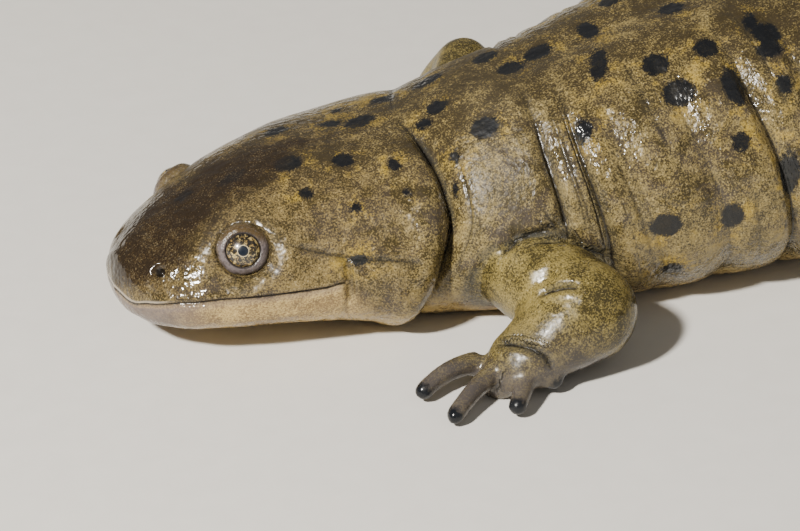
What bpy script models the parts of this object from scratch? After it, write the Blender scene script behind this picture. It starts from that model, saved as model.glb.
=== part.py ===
"""Tiger salamander at rest, life size: a still model, built whole, lying on the floor at z = 0.

The snout points toward -X with the head turned a little toward -Y, and the tail runs toward +X
in a slow curve.  The body is one long loft, parted into head, neck, chest, belly, hips and three
lengths of tail.  A place on it is a station, the distance in millimetres from the snout along a
level spine, and an angle round the section: 0 is the animal's left flank, 90 degrees its back
and 180 degrees its right flank.
"""
import math

import bmesh
import bpy
import numpy as np
from mathutils import Vector

# Driving dimensions, in millimetres and degrees

MM = 0.001
GAP = 0.3
LENGTH = 218.0
ORIGIN_STATION = 78.0
AROUND = 28
AROUND_HEAD = 40

HEADING = [(0, 4), (20, 4), (30, -4), (36, -12), (44, -9), (56, 2), (70, 1), (90, 2),
           (105, 4), (125, 14), (150, 28), (180, 30), (218, 16)]
HALF_WIDTH = [(0, 0), (0.4, 2.6), (1.5, 5.2), (4, 8.2), (8, 10.3), (13, 11.9), (20, 13.7),
              (26, 15.2), (29.5, 14.8), (32, 14.1), (38, 14.8), (48, 16.3), (60, 18.3),
              (78, 19.6), (94, 18.6), (104, 15.8), (112, 12.9), (120, 10.9), (128, 9.3), (142, 6.8),
              (160, 4.8), (190, 2.8), (212, 1.3), (218, 0)]
TOP = [(0, 6.2), (0.4, 8.0), (1.5, 9.6), (4, 11.4), (8, 13.5), (13, 15.6), (20, 17.0),
       (26, 17.2), (32, 18.6), (38, 21.0), (48, 24.2), (60, 27.4), (78, 29.1), (94, 28.0),
       (106, 24.4), (118, 20.2), (128, 17.8), (142, 16.6), (160, 15.2), (190, 10.8),
       (212, 4.2), (218, 1.5)]
BELLY = [(0, 5.6), (0.4, 4.4), (1.5, 3.2), (4, 2.3), (8, 1.9), (13, 1.6), (20, 0.5),
         (30, -1.6), (34, -1.8), (48, -2.0), (60, -1.8), (100, -0.8), (130, -0.3),
         (212, -0.3), (218, 0.6)]
WIDEST = [(0, 6.0), (4, 6.4), (13, 6.6), (26, 7.4), (38, 9.2), (60, 11.6), (78, 12.5),
          (96, 12.0), (118, 9.0), (142, 7.0), (190, 5.0), (218, 1.2)]
FULLNESS_ABOVE = [(0, 2.0), (8, 2.1), (20, 2.15), (40, 2.1), (218, 2.0)]
FULLNESS_BELOW = [(0, 2.1), (20, 2.3), (40, 2.2), (218, 2.1)]

# Where the body is parted, and the costal grooves down the flanks

GULAR = 33.0
NECK_END = 45.1
CHEST_END = 70.5
BELLY_END = 99.5
HIPS_END = 124.0
TAIL_BASE_END = 150.0
TAIL_MIDDLE_END = 184.0
GROOVES = [43.3, 46.1, 49.2, 55.0, 61.9, 67.6, 73.4, 79.2, 85.0, 90.8, 96.6, 102.4]
GROOVE_DEPTH = 0.9
GROOVE_HALF_WIDTH = 0.9
SPINE_FURROW_DEPTH = 0.6

# How far each ring leans forward or back with height: at the gular fold, and at the grooves
GULAR_LEAN = [(-1.571, -4.6), (-0.6, -4.4), (-0.25, -3.3), (0, -1.2), (0.25, 0.4),
              (0.5, 0.2), (0.8, -0.5), (1.1, -1.4), (1.35, -2.1), (1.571, -2.4)]
GULAR_REACH = [(0, 0), (20, 0), (30, 0.9), (33, 1), (36, 0.9), (43, 0.15), (47, 0), (218, 0)]
GROOVE_LEAN = [(-1.571, 2.6), (-0.5, 2.4), (0, 1.3), (0.5, 0), (1.2, -0.8), (1.571, -1.0)]
GROOVE_REACH = [(0, 0), (38, 0), (43, 0.9), (50, 1.5), (62, 1.8), (80, 1.4), (98, 1), (112, 0),
                (218, 0)]

# The face
MOUTH_LINE = [(-2, 5.9), (0.1, 5.8), (0.4, 5.65), (1.1, 6.05), (2.2, 6.65), (5.2, 7.5),
              (7, 7.72), (9.5, 7.82), (14.2, 7.9), (17.2, 8.0), (18.4, 8.2)]
JAW_HEEL = (21.0, -1.0)
EYE_STATION = 10.5
EYE_OUT = 7.6
EYE_HEIGHT = 11.3
EYE_RADIUS = 2.1
LID_THICKNESS = 0.45
LID_OPENING = 46.0
GAZE = (-0.36, 0.82, 0.44)
NOSTRIL_STATION = 2.9
NOSTRIL_ANGLE = 0.53
NOSTRIL_RADIUS = 0.45

# Folds and swellings: how deep or high, where, and their half spreads along and round
GULAR_FOLD_DEPTH = 1.5
GULAR_FOLD_HALF_WIDTH = 1.0
JOWL_SWELL = 0.4
JOWL_STATION = 29.5
JOWL_HALF_WIDTH = 2.2
EYE_MOUND_HEIGHT = 0.9
EYE_MOUND_HALF_LENGTH = 3.4
EYE_MOUND_ANGLE = 0.62
EYE_MOUND_HALF_ANGLE = 0.36
LIP_SWELL = 0.3
LIP_HALF_ANGLE = 0.3
LIP_RADIUS = 12.0
TEMPLE_GROOVE_DEPTH = 0.45
TEMPLE_GROOVE_ANGLE = 0.33
TEMPLE_GROOVE_HALF_ANGLE = 0.2
CHEEK_CREASE_DEPTH = 0.4
CHEEK_CREASE_STATION = 19.5
CHEEK_CREASE_HALF_WIDTH = 0.9
CHEEK_CREASE_ANGLE = -0.1
CHEEK_CREASE_HALF_ANGLE = 0.3
FURROW_HALF_ANGLE = 0.2

# The head rolls and turns a little to its left, so its right side is stretched flatter
RIGHT_EYE_SHIFT = (-0.15, 0.2, -0.5)
RIGHT_FOLD_SHARE = 0.2
RIGHT_MOUND_SHARE = 0.2
RIGHT_FLAT = [(0, 0), (2.6, 0.6), (5.8, 0.5), (8.5, 0.2), (12.4, 0.4), (17, 0.28), (22, 0),
              (218, 0)]
RIGHT_FLAT_ANGLE = 0.5
RIGHT_FLAT_HALF_ANGLE = 0.45

# Where round the flank each form is seen, and along the body: (angle, share), (station, share)
GROOVES_SEEN = [(-1.571, 0), (-1.0, 0), (-0.5, 1), (0.6, 1), (0.95, 0.35), (1.3, 0), (1.571, 0)]
FOLD_SEEN = [(-1.571, 0.3), (-0.5, 1), (0.8, 1), (1.3, 0.3), (1.571, 0)]
LIPS_SEEN = [(0, 0), (1, 0.3), (3, 1), (17, 1), (20, 0), (218, 0)]
TEMPLE_SEEN = [(0, 0), (14, 0), (16.5, 1), (26, 1), (29, 0), (218, 0)]
FURROW_SEEN = [(0, 0), (36, 0), (46, 1), (104, 1), (116, 0), (218, 0)]

SKIN_OLIVE = (0.165, 0.125, 0.036)
SKIN_BROWN = (0.095, 0.075, 0.040)
SKIN_PALE = (0.330, 0.280, 0.150)
SKIN_LIMB = (0.200, 0.155, 0.030)
SKIN_TOE = (0.070, 0.062, 0.050)
EYE_DARK = (0.030, 0.022, 0.012)


def along(table, position):
    """Smooth curve through (position, value) pairs: cubic pieces that share their slopes."""
    known, value = np.array(table, float).T
    slope = np.gradient(value, known)
    position = np.clip(np.asarray(position, float), known[0], known[-1])
    left = np.clip(np.searchsorted(known, position, side="right") - 1, 0, len(known) - 2)
    span = known[left + 1] - known[left]
    t = (position - known[left]) / span
    return ((2 * t**3 - 3 * t**2 + 1) * value[left] + (t**3 - 2 * t**2 + t) * span * slope[left]
            + (3 * t**2 - 2 * t**3) * value[left + 1] + (t**3 - t**2) * span * slope[left + 1])


def faded(table, position):
    """Shares between the listed ones, level at each of them, so that none is overshot."""
    known, value = np.array(table, float).T
    position = np.clip(np.asarray(position, float), known[0], known[-1])
    left = np.clip(np.searchsorted(known, position, side="right") - 1, 0, len(known) - 2)
    t = (position - known[left]) / (known[left + 1] - known[left])
    return value[left] + (3 * t**2 - 2 * t**3) * (value[left + 1] - value[left])


def walk_spine():
    """The spine's stations and its level points, found by adding up small steps of its heading."""
    station = np.linspace(0, LENGTH, 2181)
    turn = np.radians(along(HEADING, station))
    step = station[1]
    east = np.concatenate([[0], np.cumsum((np.cos(turn[1:]) + np.cos(turn[:-1])) / 2 * step)])
    north = np.concatenate([[0], np.cumsum((np.sin(turn[1:]) + np.sin(turn[:-1])) / 2 * step)])
    east -= np.interp(ORIGIN_STATION, station, east)
    north -= np.interp(ORIGIN_STATION, station, north)
    return station, east, north


SPINE = walk_spine()


def place(station, out, height):
    """World point at a station, a distance out to the animal's left, and a height."""
    turn = np.radians(along(HEADING, station))
    ahead = np.minimum(station, 0)
    east = np.interp(station, SPINE[0], SPINE[1]) + ahead * np.cos(turn)
    north = np.interp(station, SPINE[0], SPINE[2]) + ahead * np.sin(turn)
    return np.stack([east + out * np.sin(turn), north - out * np.cos(turn), height + 0 * east], -1)


def bump(distance, half_width):
    """A smooth hill of height one, gone about two half widths away: e to minus its square."""
    return np.exp(-(distance / half_width)**2)


def lean(station, angle):
    """How far a point of the ring at this station lies behind it, in millimetres."""
    rise = np.arcsin(np.sin(angle))
    gular = along(GULAR_LEAN, rise) * faded(GULAR_REACH, station)
    return gular + along(GROOVE_LEAN, rise) * faded(GROOVE_REACH, station)


def section_radius(station, angle):
    """Distance from the middle of the section to the skin, for two half superellipses."""
    wide = np.maximum(along(HALF_WIDTH, station), 0.001)
    middle = along(WIDEST, station)
    above = np.sin(angle) >= 0
    tall = np.where(above, along(TOP, station) - middle, middle - along(BELLY, station))
    power = np.where(above, along(FULLNESS_ABOVE, station), along(FULLNESS_BELOW, station))
    sides = np.abs(np.cos(angle) / wide)**power
    return (sides + np.abs(np.sin(angle) / tall)**power)**(-1 / power)


def leftness(angle):
    """1 on the left flank, 0 on the right one and a half on the back."""
    return np.clip(0.5 + 2 * np.cos(angle), 0, 1)


def head_relief(station, angle, rise):
    """Swellings and creases of the face, some of them weaker on the stretched right side."""
    left = leftness(angle)
    mound = bump(station - EYE_STATION, EYE_MOUND_HALF_LENGTH)
    mound = mound * bump(rise - EYE_MOUND_ANGLE, EYE_MOUND_HALF_ANGLE)
    total = EYE_MOUND_HEIGHT * mound * (RIGHT_MOUND_SHARE + (1 - RIGHT_MOUND_SHARE) * left)
    mouth_rise = (along(MOUTH_LINE, station) - along(WIDEST, station)) / LIP_RADIUS
    total += LIP_SWELL * faded(LIPS_SEEN, station) * bump(rise - mouth_rise, LIP_HALF_ANGLE)
    temple = bump(rise - TEMPLE_GROOVE_ANGLE, TEMPLE_GROOVE_HALF_ANGLE)
    total -= TEMPLE_GROOVE_DEPTH * faded(TEMPLE_SEEN, station) * temple
    crease = bump(station - CHEEK_CREASE_STATION, CHEEK_CREASE_HALF_WIDTH)
    crease = crease * bump(rise - CHEEK_CREASE_ANGLE, CHEEK_CREASE_HALF_ANGLE)
    total -= CHEEK_CREASE_DEPTH * crease
    flat = faded(RIGHT_FLAT, station) * bump(rise - RIGHT_FLAT_ANGLE, RIGHT_FLAT_HALF_ANGLE)
    return total - flat * (1 - left)


def relief(station, angle):
    """Folds, grooves and swellings of the skin: what is added to the section's radius."""
    rise = np.arcsin(np.sin(angle))
    grooves = sum(bump(station - groove, GROOVE_HALF_WIDTH) for groove in GROOVES)
    total = -GROOVE_DEPTH * grooves * faded(GROOVES_SEEN, rise)
    fold = faded(FOLD_SEEN, rise)
    fold = fold * (RIGHT_FOLD_SHARE + (1 - RIGHT_FOLD_SHARE) * leftness(angle))
    total -= GULAR_FOLD_DEPTH * bump(station - GULAR, GULAR_FOLD_HALF_WIDTH) * fold
    total += JOWL_SWELL * bump(station - JOWL_STATION, JOWL_HALF_WIDTH) * fold
    furrow = faded(FURROW_SEEN, station) * bump(rise - math.pi / 2, FURROW_HALF_ANGLE)
    return total - SPINE_FURROW_DEPTH * furrow + head_relief(station, angle, rise)


def skin(station, angle, extra=0.0, floor=0.0):
    """World points of the body's surface; below the floor they are pressed flat onto it."""
    leaning = station + lean(station, angle)
    radius = section_radius(leaning, angle) + relief(station, angle) + extra
    height = along(WIDEST, leaning) + radius * np.sin(angle)
    return place(leaning, radius * np.cos(angle), np.maximum(height, floor))


def material(name, color, roughness):
    """A Principled material of one colour."""
    made = bpy.data.materials.new(name)
    made.use_nodes = True
    shader = made.node_tree.nodes["Principled BSDF"]
    shader.inputs["Base Color"].default_value = (*color, 1.0)
    shader.inputs["Roughness"].default_value = roughness
    shader.inputs["Metallic"].default_value = 0.0
    return made


def add_object(name, bm, collection):
    """Turn a bmesh in metres into a smooth-shaded object, faces out."""
    bmesh.ops.recalc_face_normals(bm, faces=bm.faces)
    mesh = bpy.data.meshes.new(name)
    bm.to_mesh(mesh)
    bm.free()
    mesh.shade_smooth()
    mesh.set_sharp_from_angle(angle=math.radians(50))
    made = bpy.data.objects.new(name, mesh)
    collection.objects.link(made)
    return made


def loft(rings, first=None, last=None):
    """Closed bmesh through rings of equal count; an end is a flat face or a fan round a point."""
    bm = bmesh.new()
    rows = [[bm.verts.new(point * MM) for point in ring] for ring in rings]
    count = len(rows[0])
    for near, far in zip(rows[:-1], rows[1:]):
        for i in range(count):
            j = (i + 1) % count
            bm.faces.new((near[i], near[j], far[j], far[i]))
    for row, centre in ((rows[0], first), (rows[-1], last)):
        if centre is None:
            bm.faces.new(row)
            continue
        hub = bm.verts.new(np.asarray(centre) * MM)
        for i in range(count):
            bm.faces.new((row[i], row[(i + 1) % count], hub))
    return bm


def stations_between(start, end, step):
    """Rings from start to end, close together at the grooves and about a step apart elsewhere."""
    marks = {start, end}
    for groove in GROOVES:
        for offset in (-1.1, 0, 1.1, 2.9):
            if start + 0.7 < groove + offset < end - 0.7:
                marks.add(round(groove + offset, 3))
    marks = sorted(marks)
    filled = []
    for low, high in zip(marks[:-1], marks[1:]):
        parts = max(1, round((high - low) / step))
        filled += [low + (high - low) * k / parts for k in range(parts)]
    return filled + [end]


def body_length(name, stations, collection, snout=False, tail_tip=False, extra=0.0, floor=0.0):
    """One length of the body.  Its ends are cut half a gap short of where it meets the next."""
    stations = np.array(stations, float)
    stations[0] += 0 if snout else GAP / 2
    stations[-1] -= 0 if tail_tip else GAP / 2
    around = AROUND_HEAD if snout else AROUND
    angles = np.radians(np.arange(around) * 360 / around)
    rings = skin(*np.meshgrid(stations, angles, indexing="ij"), extra, floor)
    hubs = []
    for station, closed in ((stations[0], snout), (stations[-1], tail_tip)):
        middle = station + lean(station, 0.3) / 2
        hubs.append(place(middle, 0.0, along(WIDEST, middle)))
    if snout:
        hubs[0] = place(0.0, 0.0, along(WIDEST, 0.0))
    if tail_tip:
        hubs[1] = place(LENGTH, 0.0, along(WIDEST, LENGTH))
    return add_object(name, loft(rings, hubs[0], hubs[1]), collection)


def applied(target):
    """Bake the modifiers of an object into its mesh."""
    graph = bpy.context.evaluated_depsgraph_get()
    baked = bpy.data.meshes.new_from_object(target.evaluated_get(graph))
    target.modifiers.clear()
    target.data = baked
    return target


def keep_largest(target):
    """Drop every loose scrap but the surface with the most faces."""
    bm = bmesh.new()
    bm.from_mesh(target.data)
    unseen = set(bm.verts)
    islands = []
    while unseen:
        edge_of_island = [unseen.pop()]
        island = []
        while edge_of_island:
            vert = edge_of_island.pop()
            island.append(vert)
            for edge in vert.link_edges:
                other = edge.other_vert(vert)
                if other in unseen:
                    unseen.remove(other)
                    edge_of_island.append(other)
        islands.append(island)
    islands.sort(key=len)
    scraps = [vert for island in islands[:-1] for vert in island]
    bmesh.ops.delete(bm, geom=scraps, context="VERTS")
    bm.to_mesh(target.data)
    bm.free()


def cut(target, cutter, operation="DIFFERENCE"):
    """Boolean of a target with one closed mesh, applied at once."""
    modifier = target.modifiers.new("cut", "BOOLEAN")
    modifier.operation = operation
    modifier.solver = "EXACT"
    modifier.object = cutter
    applied(target)
    keep_largest(target)


def join(target, others):
    """One Boolean union of a target with a list of closed meshes, which are then removed."""
    group = bpy.data.collections.new(target.name + "_union")
    bpy.context.scene.collection.children.link(group)
    for other in others:
        group.objects.link(other)
    modifier = target.modifiers.new("union", "BOOLEAN")
    modifier.operation = "UNION"
    modifier.solver = "EXACT"
    modifier.operand_type = "COLLECTION"
    modifier.collection = group
    applied(target)
    keep_largest(target)
    for other in others:
        bpy.data.objects.remove(other)
    bpy.data.collections.remove(group)


def trim(bm, point, normal):
    """Keep the side of a plane that its normal points to, and close the cut flat."""
    everything = bm.verts[:] + bm.edges[:] + bm.faces[:]
    bmesh.ops.bisect_plane(bm, geom=everything, plane_co=Vector(point) * MM, plane_no=normal,
                           clear_inner=True, dist=1e-7)
    bmesh.ops.holes_fill(bm, edges=[edge for edge in bm.edges if edge.is_boundary], sides=0)


def limb_axes(direction):
    """Side and up directions of a limb's section, square to the way it runs."""
    side = np.cross(direction, (0, 0, 1.0))
    side /= np.linalg.norm(side)
    return side, np.cross(side, direction)


def rounded_limb(start, end, sizes, sides=14):
    """Closed loft along a straight limb with round ends, from (share, half width, half height)."""
    start, end = np.array(start, float), np.array(end, float)
    reach = np.linalg.norm(end - start)
    direction = (end - start) / reach
    side, up = limb_axes(direction)
    share, wide, tall = np.array(sizes, float).T
    spots = [(-wide[0] * math.sin(a), wide[0] * math.cos(a), tall[0] * math.cos(a))
             for a in (1.15, 0.7, 0.3)]
    spots += [(share[k] * reach, wide[k], tall[k]) for k in range(len(share))]
    spots += [(reach + wide[-1] * math.sin(a), wide[-1] * math.cos(a), tall[-1] * math.cos(a))
              for a in (0.3, 0.7, 1.15)]
    turn = np.radians((np.arange(sides) + 0.5) * 360 / sides)
    rings = [start + direction * far + np.outer(np.cos(turn), side) * w
             + np.outer(np.sin(turn), up) * h for far, w, h in spots]
    return loft(rings, start - direction * wide[0], end + direction * wide[-1])


def bisector(before, joint, after):
    """Normal of the plane that halves the bend at a joint."""
    arriving = (np.array(joint) - before) / np.linalg.norm(np.array(joint) - before)
    leaving = (np.array(after) - joint) / np.linalg.norm(np.array(after) - joint)
    normal = arriving + leaving
    return normal / np.linalg.norm(normal)


def digit(base, middle, tip, radius, sides=8):
    """A toe: a tapering loft through three points with a round tip."""
    path = [np.array(base, float), np.array(middle, float), np.array(tip, float)]
    rings = []
    shares = ((0, 1.0), (0.35, 0.94), (0.7, 0.86), (0.9, 0.8), (0.97, 0.5))
    for share, size in shares:
        first = path[0] * (1 - share) + path[1] * share
        second = path[1] * (1 - share) + path[2] * share
        centre = first * (1 - share) + second * share
        direction = (second - first) / np.linalg.norm(second - first)
        side, up = limb_axes(direction)
        turn = np.radians((np.arange(sides) + 0.5) * 360 / sides)
        rings.append(centre + radius * size * (np.outer(np.cos(turn), side)
                                               + np.outer(np.sin(turn), up)))
    return loft(rings, None, path[2])


# Limbs: joints as world points in millimetres, and half sizes. The paw points along a heading.
# A palm has a half width and a half height. A toe is where it leaves the palm, as a share of the
# half width, then the way from the palm to its tip, in degrees, and its reach
WRIST_HALF_WIDTH = 3.0
WRIST_HALF_HEIGHT = 2.5
PALM_AHEAD = -0.9
TOE_ROOT_BACK = 0.8
TOE_BEND = 0.12
TOE_RISE = 0.2
TOE_TIP_HEIGHT = 0.75

LIMBS = {
    "arm_left": {
        "names": ("left_upper_arm", "left_forearm", "left_hand"),
        "joints": [(-41.0, -9.0, 7.4), (-36.7, -21.0, 6.0), (-43.8, -22.2, 3.2)],
        "upper": [(0, 4.4, 4.4), (0.5, 4.8, 4.8), (1, 5.0, 5.0)],
        "lower": [(0, 5.0, 4.9), (0.45, 4.5, 4.3), (0.8, 3.9, 3.3), (1, 3.6, 2.7)],
        "palm": (-46.0, -22.4, 1.9), "palm_half": (3.4, 1.9), "toe_radius": 1.15,
        "heading": 220,
        "toes": [(-0.9, 177, 8.7), (-0.2, 212, 8.9), (0.6, 257, 5.8), (0.9, 332, 5.2)],
    },
    "arm_right": {
        "names": ("right_upper_arm", "right_forearm", "right_hand"),
        "joints": [(-38.0, 9.0, 8.4), (-31.4, 21.6, 12.1), (-33.6, 26.4, 3.4)],
        "upper": [(0, 4.0, 4.0), (0.5, 3.8, 3.8), (1, 3.1, 3.1)],
        "lower": [(0, 3.1, 3.1), (0.4, 3.7, 3.4), (0.8, 3.2, 2.9), (1, 2.9, 2.5)],
        "palm": (-36.0, 28.2, 1.9), "palm_half": (3.4, 1.9), "toe_radius": 1.15,
        "heading": 143,
        "toes": [(0.55, 186, 7.8), (0.15, 154, 8.8), (-0.35, 118, 7.4), (-0.75, 76, 5.8)],
    },
    "leg_left": {
        "names": ("left_thigh", "left_shank", "left_foot"),
        "joints": [(32.0, -6.5, 8.2), (24.5, -24.5, 7.2), (35.0, -31.0, 3.4)],
        "upper": [(0, 5.2, 5.2), (0.5, 5.3, 5.3), (1, 4.7, 4.7)],
        "lower": [(0, 4.7, 4.7), (0.4, 4.5, 4.3), (0.8, 3.5, 3.2), (1, 3.1, 2.6)],
        "palm": (34.6, -34.6, 2.0), "palm_half": (4.0, 2.0), "toe_radius": 1.25,
        "heading": 264,
        "toes": [(-0.7, 206, 6.8), (-0.4, 236, 9.2), (0, 260, 10.6), (0.3, 286, 10.2),
                 (0.7, 320, 7.4)],
    },
    "leg_right": {
        "names": ("right_thigh", "right_shank", "right_foot"),
        "joints": [(32.0, 11.5, 8.2), (26.0, 30.0, 7.6), (37.5, 36.0, 3.4)],
        "upper": [(0, 5.2, 5.2), (0.5, 5.3, 5.3), (1, 4.7, 4.7)],
        "lower": [(0, 4.7, 4.7), (0.4, 4.5, 4.3), (0.8, 3.5, 3.2), (1, 3.1, 2.6)],
        "palm": (38.0, 39.6, 2.0), "palm_half": (4.0, 2.0), "toe_radius": 1.25,
        "heading": 82,
        "toes": [(0.7, 142, 6.8), (0.4, 112, 9.2), (0, 88, 10.6), (-0.3, 62, 10.2),
                 (-0.7, 28, 7.4)],
    },
}


def limb_piece(name, bm, planes, collection):
    """Trim a limb's loft half a gap short of each (point, normal) plane and name it."""
    for point, normal in planes:
        trim(bm, np.array(point) + np.array(normal) * GAP / 2, normal)
    return add_object(name, bm, collection)


def paw(limb, wrist_normal, collection):
    """Palm and toes fused into one body, cut at the wrist and flat on the floor."""
    wrist = np.array(limb["joints"][2], float)
    palm = np.array(limb["palm"], float)
    wide, thick = limb["palm_half"]
    heading = math.radians(limb["heading"])
    forward = np.array((math.cos(heading), math.sin(heading), 0.0))
    sideways = np.array((-forward[1], forward[0], 0.0))
    sizes = [(0, WRIST_HALF_WIDTH, WRIST_HALF_HEIGHT), (1, wide, thick)]
    bm = rounded_limb(wrist, palm + forward * PALM_AHEAD, sizes, 12)
    body = add_object(limb["names"][2], bm, collection)
    toes = []
    for k, (share, degrees, reach) in enumerate(limb["toes"]):
        aim = math.radians(degrees)
        tip = palm + reach * np.array((math.cos(aim), math.sin(aim), 0.0))
        tip[2] = TOE_TIP_HEIGHT * limb["toe_radius"]
        base = palm - forward * TOE_ROOT_BACK + share * wide * sideways
        middle = (base + tip) / 2 + TOE_BEND * reach * share * sideways
        middle[2] = palm[2] + TOE_RISE
        shape = digit(base, middle, tip, limb["toe_radius"])
        toes.append(add_object(limb["names"][2] + "_toe_" + str(k), shape, collection))
    join(body, toes)
    slab = box_cutter("floor_slab", (palm[0], palm[1], -10.0), (60, 60, 20))
    cut(body, slab)
    behind = np.array(limb["joints"][2]) + wrist_normal * GAP / 2
    bm = bmesh.new()
    bm.from_mesh(body.data)
    trim(bm, behind, wrist_normal)
    bm.to_mesh(body.data)
    bm.free()
    bpy.data.objects.remove(slab)
    return body


def box_cutter(name, centre, size):
    """A plain block, in millimetres, used only to cut."""
    bm = bmesh.new()
    bmesh.ops.create_cube(bm, size=1.0)
    bmesh.ops.scale(bm, vec=Vector(size) * MM, verts=bm.verts)
    bmesh.ops.translate(bm, vec=Vector(centre) * MM, verts=bm.verts)
    return add_object(name, bm, CUTTERS)


def build_limb(limb, clearance, collection):
    """Upper and lower limb and its paw, parted at the planes that halve its bends."""
    root, elbow, wrist = (np.array(joint, float) for joint in limb["joints"])
    palm = np.array(limb["palm"], float)
    at_elbow = bisector(root, elbow, wrist)
    at_wrist = bisector(elbow, wrist, palm)
    upper_name, lower_name, _ = limb["names"]
    upper = limb_piece(upper_name, rounded_limb(root, elbow, limb["upper"]),
                       [(elbow, -at_elbow)], collection)
    lower = limb_piece(lower_name, rounded_limb(elbow, wrist, limb["lower"]),
                       [(elbow, at_elbow), (wrist, -at_wrist)], collection)
    for piece in (upper, lower):
        cut(piece, clearance)
    return upper, lower, paw(limb, at_wrist, collection)


def ball(name, centre, radius, collection, segments=20, rings=12):
    """A sphere with its poles along Z, its centre given in millimetres."""
    bm = bmesh.new()
    bmesh.ops.create_uvsphere(bm, u_segments=segments, v_segments=rings, radius=radius * MM)
    made = add_object(name, bm, collection)
    made.location = Vector(centre) * MM
    return made


def eye_frame(side):
    """Centre of an eye and the directions of its gaze, its front corner and its top."""
    turn = math.radians(along(HEADING, EYE_STATION))
    shift = RIGHT_EYE_SHIFT if side < 0 else (0.0, 0.0, 0.0)
    centre = place(EYE_STATION + shift[0], side * (EYE_OUT + shift[1]), EYE_HEIGHT + shift[2])
    forward, out, rise = GAZE
    ahead = np.array((math.cos(turn), math.sin(turn), 0.0))
    left = np.array((math.sin(turn), -math.cos(turn), 0.0))
    gaze = ahead * forward + left * out * side + np.array((0, 0, rise))
    gaze /= np.linalg.norm(gaze)
    top = np.array((0, 0, 1.0)) - gaze * gaze[2]
    top /= np.linalg.norm(top)
    return centre, gaze, np.cross(gaze, top), top


def lid(name, side, upper, collection):
    """Half a ring of skin over the eyeball, thinner toward the two corners of the eye."""
    centre, gaze, corner, top = eye_frame(side)
    inner = EYE_RADIUS + GAP
    half = 1 if upper else -1
    rings = []
    for sweep in np.radians(np.linspace(6, 174, 11)):
        across = np.cos(sweep) * corner + half * np.sin(sweep) * top
        thick = LID_THICKNESS * (0.6 + 0.4 * math.sin(sweep))
        opening = LID_OPENING + 2 * math.cos(sweep)**2
        profile = [(inner, opening), (inner + 0.5 * thick, opening - 4),
                   (inner + thick, opening + 9), (inner + thick, 78), (inner + thick, 100),
                   (inner, 100), (inner, 75)]
        ring = []
        for radius, degrees in profile:
            off_gaze = math.radians(degrees)
            ring.append(centre + radius * (math.cos(off_gaze) * gaze + math.sin(off_gaze) * across))
        rings.append(ring)
    return add_object(name, loft(rings), collection)


def jaw_cutter(name, clear):
    """Block below the mouth line, its heel sloping back under the corner of the mouth."""
    stations = (-2, 0.2, 0.7, 1.2, 1.9, 2.6, 4.4, 6.2, 8.8, 11.3, 13.5, 15.7, 18.4)
    outline = [(s, along(MOUTH_LINE, s) + clear) for s in stations]
    outline[-1] = (outline[-1][0] + clear, outline[-1][1])
    outline += [(JAW_HEEL[0] + clear, JAW_HEEL[1]), (-2, JAW_HEEL[1])]
    sides = [np.array([place(s, out, z) for s, z in outline]) for out in (-24.0, 24.0)]
    return add_object(name, loft(sides), CUTTERS)


for old in list(bpy.data.objects):
    bpy.data.objects.remove(old)
PARTS = bpy.data.collections.new("tiger_salamander")
CUTTERS = bpy.data.collections.new("cutters")
for group in (PARTS, CUTTERS):
    bpy.context.scene.collection.children.link(group)


def build_head():
    """Head with sockets and nostrils, the lower jaw parted from it along the mouth."""
    stations = [0.35, 0.9, 1.8, 3, 4.5, 6.2, 8, 10, 12, 14, 16.2, 18.4, 19.5, 20.6, 22.6, 24.6,
                26.6, 28.4, 30, 31.3, 32.2, GULAR]
    head = body_length("head", stations, PARTS, snout=True)
    jaw = head.copy()
    jaw.data = head.data.copy()
    jaw.name = "lower_jaw"
    PARTS.objects.link(jaw)
    cut(head, jaw_cutter("jaw_space", GAP / 2))
    cut(jaw, jaw_cutter("jaw_block", -GAP / 2), "INTERSECT")
    for side, word in ((1, "left"), (-1, "right")):
        centre = eye_frame(side)[0]
        socket = EYE_RADIUS + LID_THICKNESS + 2 * GAP
        cut(head, ball(word + "_socket", centre, socket, CUTTERS))
        angle = NOSTRIL_ANGLE if side > 0 else math.pi - NOSTRIL_ANGLE
        pit = skin(np.array(NOSTRIL_STATION), np.array(angle))
        cut(head, ball(word + "_nostril", pit, NOSTRIL_RADIUS, CUTTERS, 8, 6))
        build_eye(side, word, centre)
    return head, jaw


def build_eye(side, word, centre):
    """Eyeball with a pole at the pupil, and its two lids."""
    eye = ball(word + "_eye", centre, EYE_RADIUS, PARTS)
    eye.rotation_mode = "QUATERNION"
    eye.rotation_quaternion = Vector(eye_frame(side)[1]).to_track_quat("Z", "Y")
    lid(word + "_upper_lid", side, True, PARTS)
    lid(word + "_lower_lid", side, False, PARTS)


def build_body():
    """Neck to tail tip, and the swollen copy of the trunk that the limbs are cut with."""
    neck = [GULAR, 33.8, 34.8, 36.4, 38.4, 40.4, 42.2, 43.4, 44.3, NECK_END]
    chest = stations_between(NECK_END, CHEST_END, 3.0)
    belly = stations_between(CHEST_END, BELLY_END, 3.0)
    hips = stations_between(BELLY_END, HIPS_END, 3.2)
    body_length("neck", neck, PARTS)
    body_length("chest", chest, PARTS)
    body_length("belly", belly, PARTS)
    body_length("hips", hips, PARTS)
    body_length("tail_base", np.linspace(HIPS_END, TAIL_BASE_END, 8), PARTS)
    body_length("tail_middle", np.linspace(TAIL_BASE_END, TAIL_MIDDLE_END, 9), PARTS)
    tip = list(np.linspace(TAIL_MIDDLE_END, 212, 7)) + [215.5, 217.3]
    body_length("tail_tip", tip, PARTS, tail_tip=True)
    near_limbs = [24, 27, 30] + neck + chest[1:] + belly[1:] + hips[1:] + [128, 132]
    return body_length("body_clearance", near_limbs, CUTTERS, extra=1.1 * GAP, floor=-4.0)


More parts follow.
